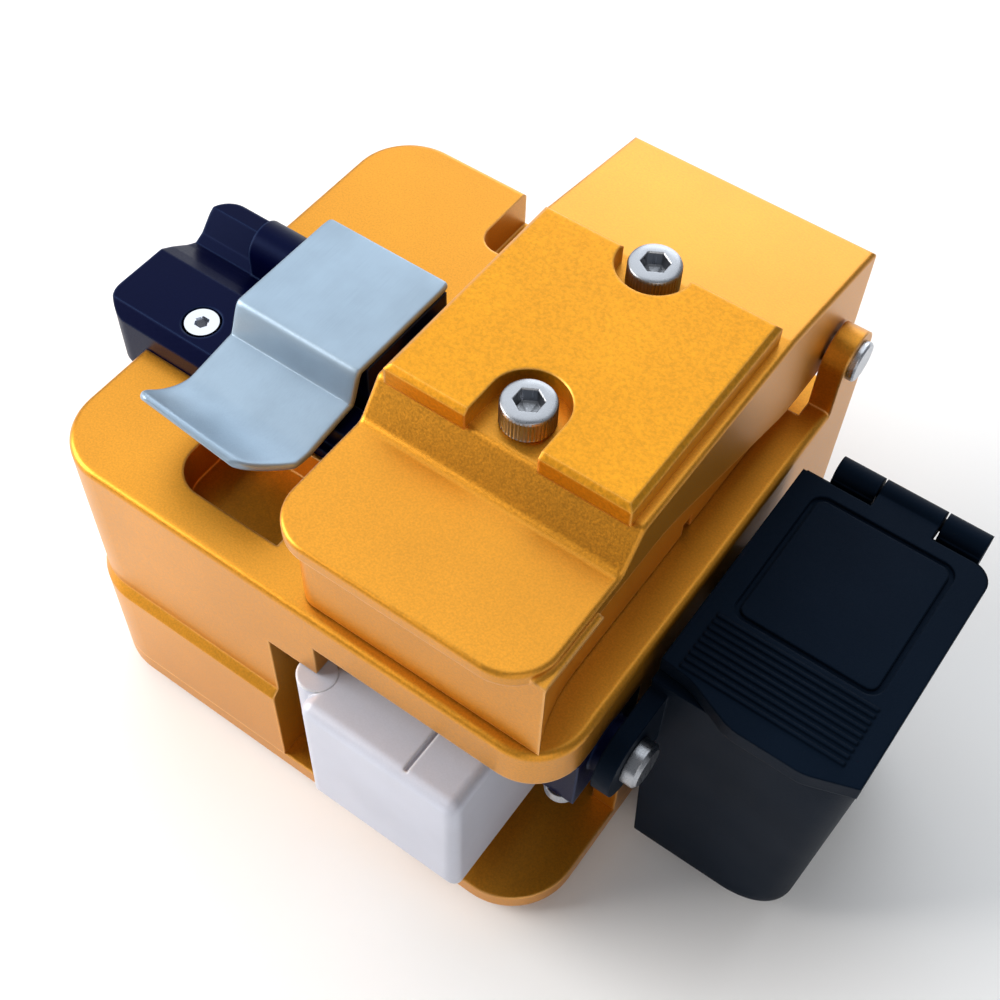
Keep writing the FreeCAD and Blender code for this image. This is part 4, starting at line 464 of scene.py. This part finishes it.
class CLEAVER_OT_springs(bpy.types.Operator):
    """Winds the carriage's return spring and the three small springs of the lid"""
    bl_idname = "cleaver.springs"
    bl_label = "Springs"

    def execute(self, context):
        look = context.scene.cleaver_spring
        for node, body, joint, turns, along in SPRINGS:
            low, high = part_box(node)
            middle = (low + high) / 2
            start, end = middle.copy(), middle.copy()
            start[along], end[along] = low[along], high[along]
            radius = (high[0] - low[0]) / 2
            wire = look.return_wire if node == "return_spring" else look.press_wire
            piece = coil(node + "_coil", start, end, radius, wire, turns)
            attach(piece, body)
            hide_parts(node)
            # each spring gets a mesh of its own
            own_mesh(piece)
        return {"FINISHED"}


# ---------------------------------------------------------------- clamp lever

def eased(share):
    """0 below 0, 1 above 1 and 3 s^2 - 2 s^3 between."""
    share = np.clip(share, 0, 1)
    return share * share * (3 - 2 * share)


def rounded_in(distance, radius):
    """How far a rounded corner pulls an edge in at a distance from the end:
    r - sqrt(r^2 - (r - d)^2)."""
    short = np.clip(radius - distance, 0, radius)
    return radius - np.sqrt(radius * radius - short * short)


def lever_sheet(name, settings):
    """A bent strip of sheet. Its middle line is z(y) = low + drop * eased((y - step) / ramp)
    - dip * (step - y) / flat, and forward of the front bend + curl * ((bend - y) / (bend - tip))^2,
    which the twist makes larger at the left and smaller at the right. Across it each section is a
    slot shape: two flats and two half rounds, set square to the middle line, between a left edge
    that flares out at the tip and a right edge that a chamfer takes in."""
    end_rows, flat_rows, ramp_rows, rear_rows = 7, 44, 26, 14
    face_columns, edge_columns = 25, 7
    low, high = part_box("clamp_lever")
    clamp_low, clamp_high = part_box("clamp_body")
    half = settings.thickness / 2
    tip, rear = low[1], high[1]
    step = clamp_low[1] - settings.lead - settings.ramp
    bend = step - settings.flat
    floor, top = low[2] + half, clamp_high[2] + half
    turn = np.linspace(0, math.pi / 2, end_rows)
    y = np.concatenate([
        tip + half * (1 - np.cos(turn))[:-1],
        np.linspace(tip + half, step, flat_rows)[:-1],
        np.linspace(step, step + settings.ramp, ramp_rows)[:-1],
        np.linspace(step + settings.ramp, rear - half, rear_rows)[:-1],
        rear - half + half * np.sin(turn),
    ])
    flat_line = floor + (top - floor) * eased((y - step) / settings.ramp)
    flat_line = flat_line - settings.dip * np.clip((step - y) / settings.flat, 0, 1)
    rise = (settings.curl + settings.dip) * (np.clip(bend - y, 0, None) / (bend - tip)) ** 2
    slope = np.gradient(flat_line + rise, y)
    steep = np.sqrt(1 + slope * slope)
    ahead, behind = y - tip, rear - y
    left = clamp_low[0] - settings.flare * eased((tip + settings.corner * 4 - y) / (settings.corner * 2.6))
    left = left + rounded_in(ahead, settings.corner) + rounded_in(behind, settings.corner * 0.4)
    right = clamp_high[0] - settings.chamfer * np.clip(1 - ahead / (settings.chamfer * 1.45), 0, 1)
    right = right - rounded_in(ahead, settings.corner * 0.6) - rounded_in(behind, settings.corner * 0.4)
    thick = half * np.sqrt(np.clip(1 - np.clip(1 - ahead / half, 0, 1) ** 2, 0.02, 1))
    thick = thick * np.sqrt(np.clip(1 - np.clip(1 - behind / half, 0, 1) ** 2, 0.02, 1))
    across = np.linspace(0, 1, face_columns)
    none, full = np.zeros(face_columns), np.ones(face_columns)
    edge = np.linspace(math.pi / 2, -math.pi / 2, edge_columns + 2)[1:-1]
    share = np.concatenate([across, np.ones(edge_columns), across[::-1], np.zeros(edge_columns)])
    out = np.concatenate([none, np.cos(edge), none, -np.cos(edge)])
    lift = np.concatenate([full, np.sin(edge), -full, -np.sin(edge)])
    width = (right - left)[:, None] - 2 * thick[:, None]
    x = (left + thick)[:, None] + share * width + out * thick[:, None]
    y_place = y[:, None] - lift * (thick * slope / steep)[:, None]
    twisted = rise[:, None] * (1 + settings.twist * (0.5 - share))
    z_place = flat_line[:, None] + twisted + lift * (thick / steep)[:, None]
    return smooth(outward(mesh_from_grid(name, np.stack([x, y_place, z_place], axis=-1))), 50)


class CLEAVER_OT_lever(bpy.types.Operator):
    """Bends the clamp lever from sheet, with its turned-up finger tip"""
    bl_idname = "cleaver.lever"
    bl_label = "Clamp lever"

    def execute(self, context):
        piece = lever_sheet("clamp_lever_sheet", context.scene.cleaver_lever)
        finish(piece, "sheet steel")
        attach(piece, "adapter_clamp")
        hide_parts("clamp_lever")
        return {"FINISHED"}


# ---------------------------------------------------------------- socket screws

def hexagon_reach(angles, apothem):
    """Distance from a hexagon's centre to its wall: apothem / cos(angle to the nearest flat's middle)."""
    away = (angles + math.pi / 6) % (math.pi / 3) - math.pi / 6
    return apothem / np.cos(away)


def socket_screw(name, node, settings):
    """A socket head cap screw as one turned surface. Round the head the radius is
    R - depth * tooth(a); at the mouth the ring runs in from the circle to the hexagon's wall."""
    low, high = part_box(node)
    centre = (low + high) / 2
    head = (high[0] - low[0]) / 2
    top = high[2] - low[2]
    head_height = head * 1.1
    seat = top - head_height
    socket_floor = top - head_height * 0.55
    shank = head * 0.55
    bevel = head * 0.11
    angles = np.linspace(0, 2 * math.pi, settings.knurls * 6, endpoint=False)
    tooth = (0.5 - 0.5 * np.cos(angles * settings.knurls)) * settings.knurl_depth
    wall = hexagon_reach(angles, settings.hexagon / 2)
    # height, radius, share of the tooth's depth
    outside = np.array([
        (0.0, shank * 0.8, 0),
        (shank * 0.25, shank, 0),
        (seat, shank, 0),
        (seat, head - bevel, 0),
        (seat + bevel, head, 0),
        (seat + bevel * 1.4, head, 1),
        (top - bevel * 1.9, head, 1),
        (top - bevel * 1.5, head, 0),
        (top - bevel * 0.6, head - bevel * 0.35, 0),
        (top, head - bevel * 1.4, 0),
    ])
    # height, share of the hexagon's reach
    inside = np.array([
        (top, 1.08),
        (top - bevel * 0.5, 1.0),
        (socket_floor, 1.0),
        (socket_floor - head * 0.12, 0.3),
    ])
    radii = np.concatenate([outside[:, 1:2] - outside[:, 2:3] * tooth, inside[:, 1:2] * wall])
    heights = np.concatenate([outside[:, 0], inside[:, 0]]) + low[2]
    grid = np.stack([radii * np.cos(angles) + centre[0], radii * np.sin(angles) + centre[1],
                     heights[:, None] + 0 * radii], axis=-1)
    piece = smooth(outward(mesh_from_grid(name, grid)), 30)
    finish(piece, "zinc")
    return piece


class CLEAVER_OT_screws(bpy.types.Operator):
    """Cuts the two knurled socket screws of the cover plate"""
    bl_idname = "cleaver.screws"
    bl_label = "Socket screws"

    def execute(self, context):
        look = context.scene.cleaver_screw
        for node in ("cover_screw_front", "cover_screw_rear"):
            piece = socket_screw(node + "_knurled", node, look)
            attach(piece, "lid")
            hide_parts(node)
        return {"FINISHED"}


# ---------------------------------------------------------------- stage

FLOOR_REACH = 3.0
# name, place, side of the square panel in metres, power in watts, colour
LIGHTS = (
    ("window_left", (-0.55, -0.3, 0.38), 0.45, 6.3, "#FFFBF6"),
    ("panel_top", (-0.3, 0.42, 0.72), 1.1, 5.7, "#F6FBFF"),
    ("panel_rear", (-0.2, 0.6, 0.2), 0.4, 1.2, "#F6FBFF"),
    ("fill_right", (0.5, -0.45, 0.34), 0.5, 1.1, "#FFF9F2"),
)
LIGHT_TARGET = Vector((0, 0, 0.03))
# in front, to the right and high above, looking down at the lid
CAMERA_PLACE = Vector((58.8, -80.4, 164.6)) * MM
CAMERA_TURN = (0.611185, -0.02444, 0.621829)
NEAREST_DRAWN = 0.005


class CLEAVER_OT_stage(bpy.types.Operator):
    """Lays the floor and sets the soft lights and the camera"""
    bl_idname = "cleaver.stage"
    bl_label = "Stage"

    def execute(self, context):
        look = context.scene.cleaver_stage
        self.floor(look)
        self.lights()
        self.room(context, look)
        # the Standard view keeps the dyes as saturated as the colours above say
        context.scene.view_settings.view_transform = "Standard"
        self.camera(context, look)
        return {"FINISHED"}

    def floor(self, look):
        near, far = -FLOOR_REACH, FLOOR_REACH
        corners = np.array([[[near, near, 0], [far, near, 0]], [[near, far, 0], [far, far, 0]]])
        floor = mesh_from_grid("floor", corners, closed_around=False)
        # Paper: matt and almost white, with a drift too slight to draw the eye.
        material, tree, shader, place = start_material("matt_paper", Roughness=0.9)
        shade = colour_drift(tree, place, look.floor[:], 0.4, 0.99, 1.0)
        tree.links.new(shade, shader.inputs["Base Color"])
        floor.data.materials.append(material)

    def lights(self):
        for name, place, size, power, code in LIGHTS:
            lamp = bpy.data.lights.new(name, "AREA")
            lamp.shape = "SQUARE"
            lamp.size = size
            lamp.energy = power
            lamp.color = linear(code)[:3]
            holder = bpy.data.objects.new(name, lamp)
            holder.location = place
            holder.rotation_euler = (LIGHT_TARGET - Vector(place)).to_track_quat("-Z", "Y").to_euler()
            bpy.context.scene.collection.objects.link(holder)

    def room(self, context, look):
        world = bpy.data.worlds.new("room")
        context.scene.world = world
        world.use_nodes = True
        background = world.node_tree.nodes["Background"]
        background.inputs["Color"].default_value = look.sky[:]
        background.inputs["Strength"].default_value = look.sky_strength

    def camera(self, context, look):
        camera = bpy.data.objects.new("camera", bpy.data.cameras.new("camera"))
        context.scene.collection.objects.link(camera)
        camera.data.lens = look.lens
        camera.data.clip_start = NEAREST_DRAWN
        camera.location = CAMERA_PLACE
        camera.rotation_euler = CAMERA_TURN
        context.scene.camera = camera


# ---------------------------------------------------------------- add-on

class CLEAVER_PT_panel(bpy.types.Panel):
    """Lists the settings and the steps of dressing"""
    bl_label = "Fibre cleaver"
    bl_idname = "CLEAVER_PT_panel"
    bl_space_type = "VIEW_3D"
    bl_region_type = "UI"
    bl_category = "Cleaver"

    def draw(self, context):
        for step in STEPS:
            self.layout.operator(step.bl_idname)
        for group, key in SETTINGS:
            box = self.layout.box()
            for setting in group.__annotations__:
                box.prop(getattr(context.scene, key), setting)


SETTINGS = (
    (FinishSettings, "cleaver_finish"),
    (LeverSettings, "cleaver_lever"),
    (ScrewSettings, "cleaver_screw"),
    (SpringSettings, "cleaver_spring"),
    (StageSettings, "cleaver_stage"),
)
STEPS = (CLEAVER_OT_stage, CLEAVER_OT_finishes, CLEAVER_OT_springs, CLEAVER_OT_lever, CLEAVER_OT_screws)


def register():
    for group, key in SETTINGS:
        bpy.utils.register_class(group)
        setattr(bpy.types.Scene, key, PointerProperty(type=group))
    for kind in STEPS + (CLEAVER_PT_panel,):
        bpy.utils.register_class(kind)


def unregister():
    for kind in (CLEAVER_PT_panel,) + STEPS[::-1]:
        bpy.utils.unregister_class(kind)
    for group, key in reversed(SETTINGS):
        delattr(bpy.types.Scene, key)
        bpy.utils.unregister_class(group)


def main():
    for leftover in ("Cube", "Light", "Camera"):
        if leftover in bpy.data.objects:
            bpy.data.objects.remove(bpy.data.objects[leftover])
    register()
    for step in STEPS:
        group, action = step.bl_idname.split(".")
        getattr(getattr(bpy.ops, group), action)()


if __name__ == "__main__":
    main()
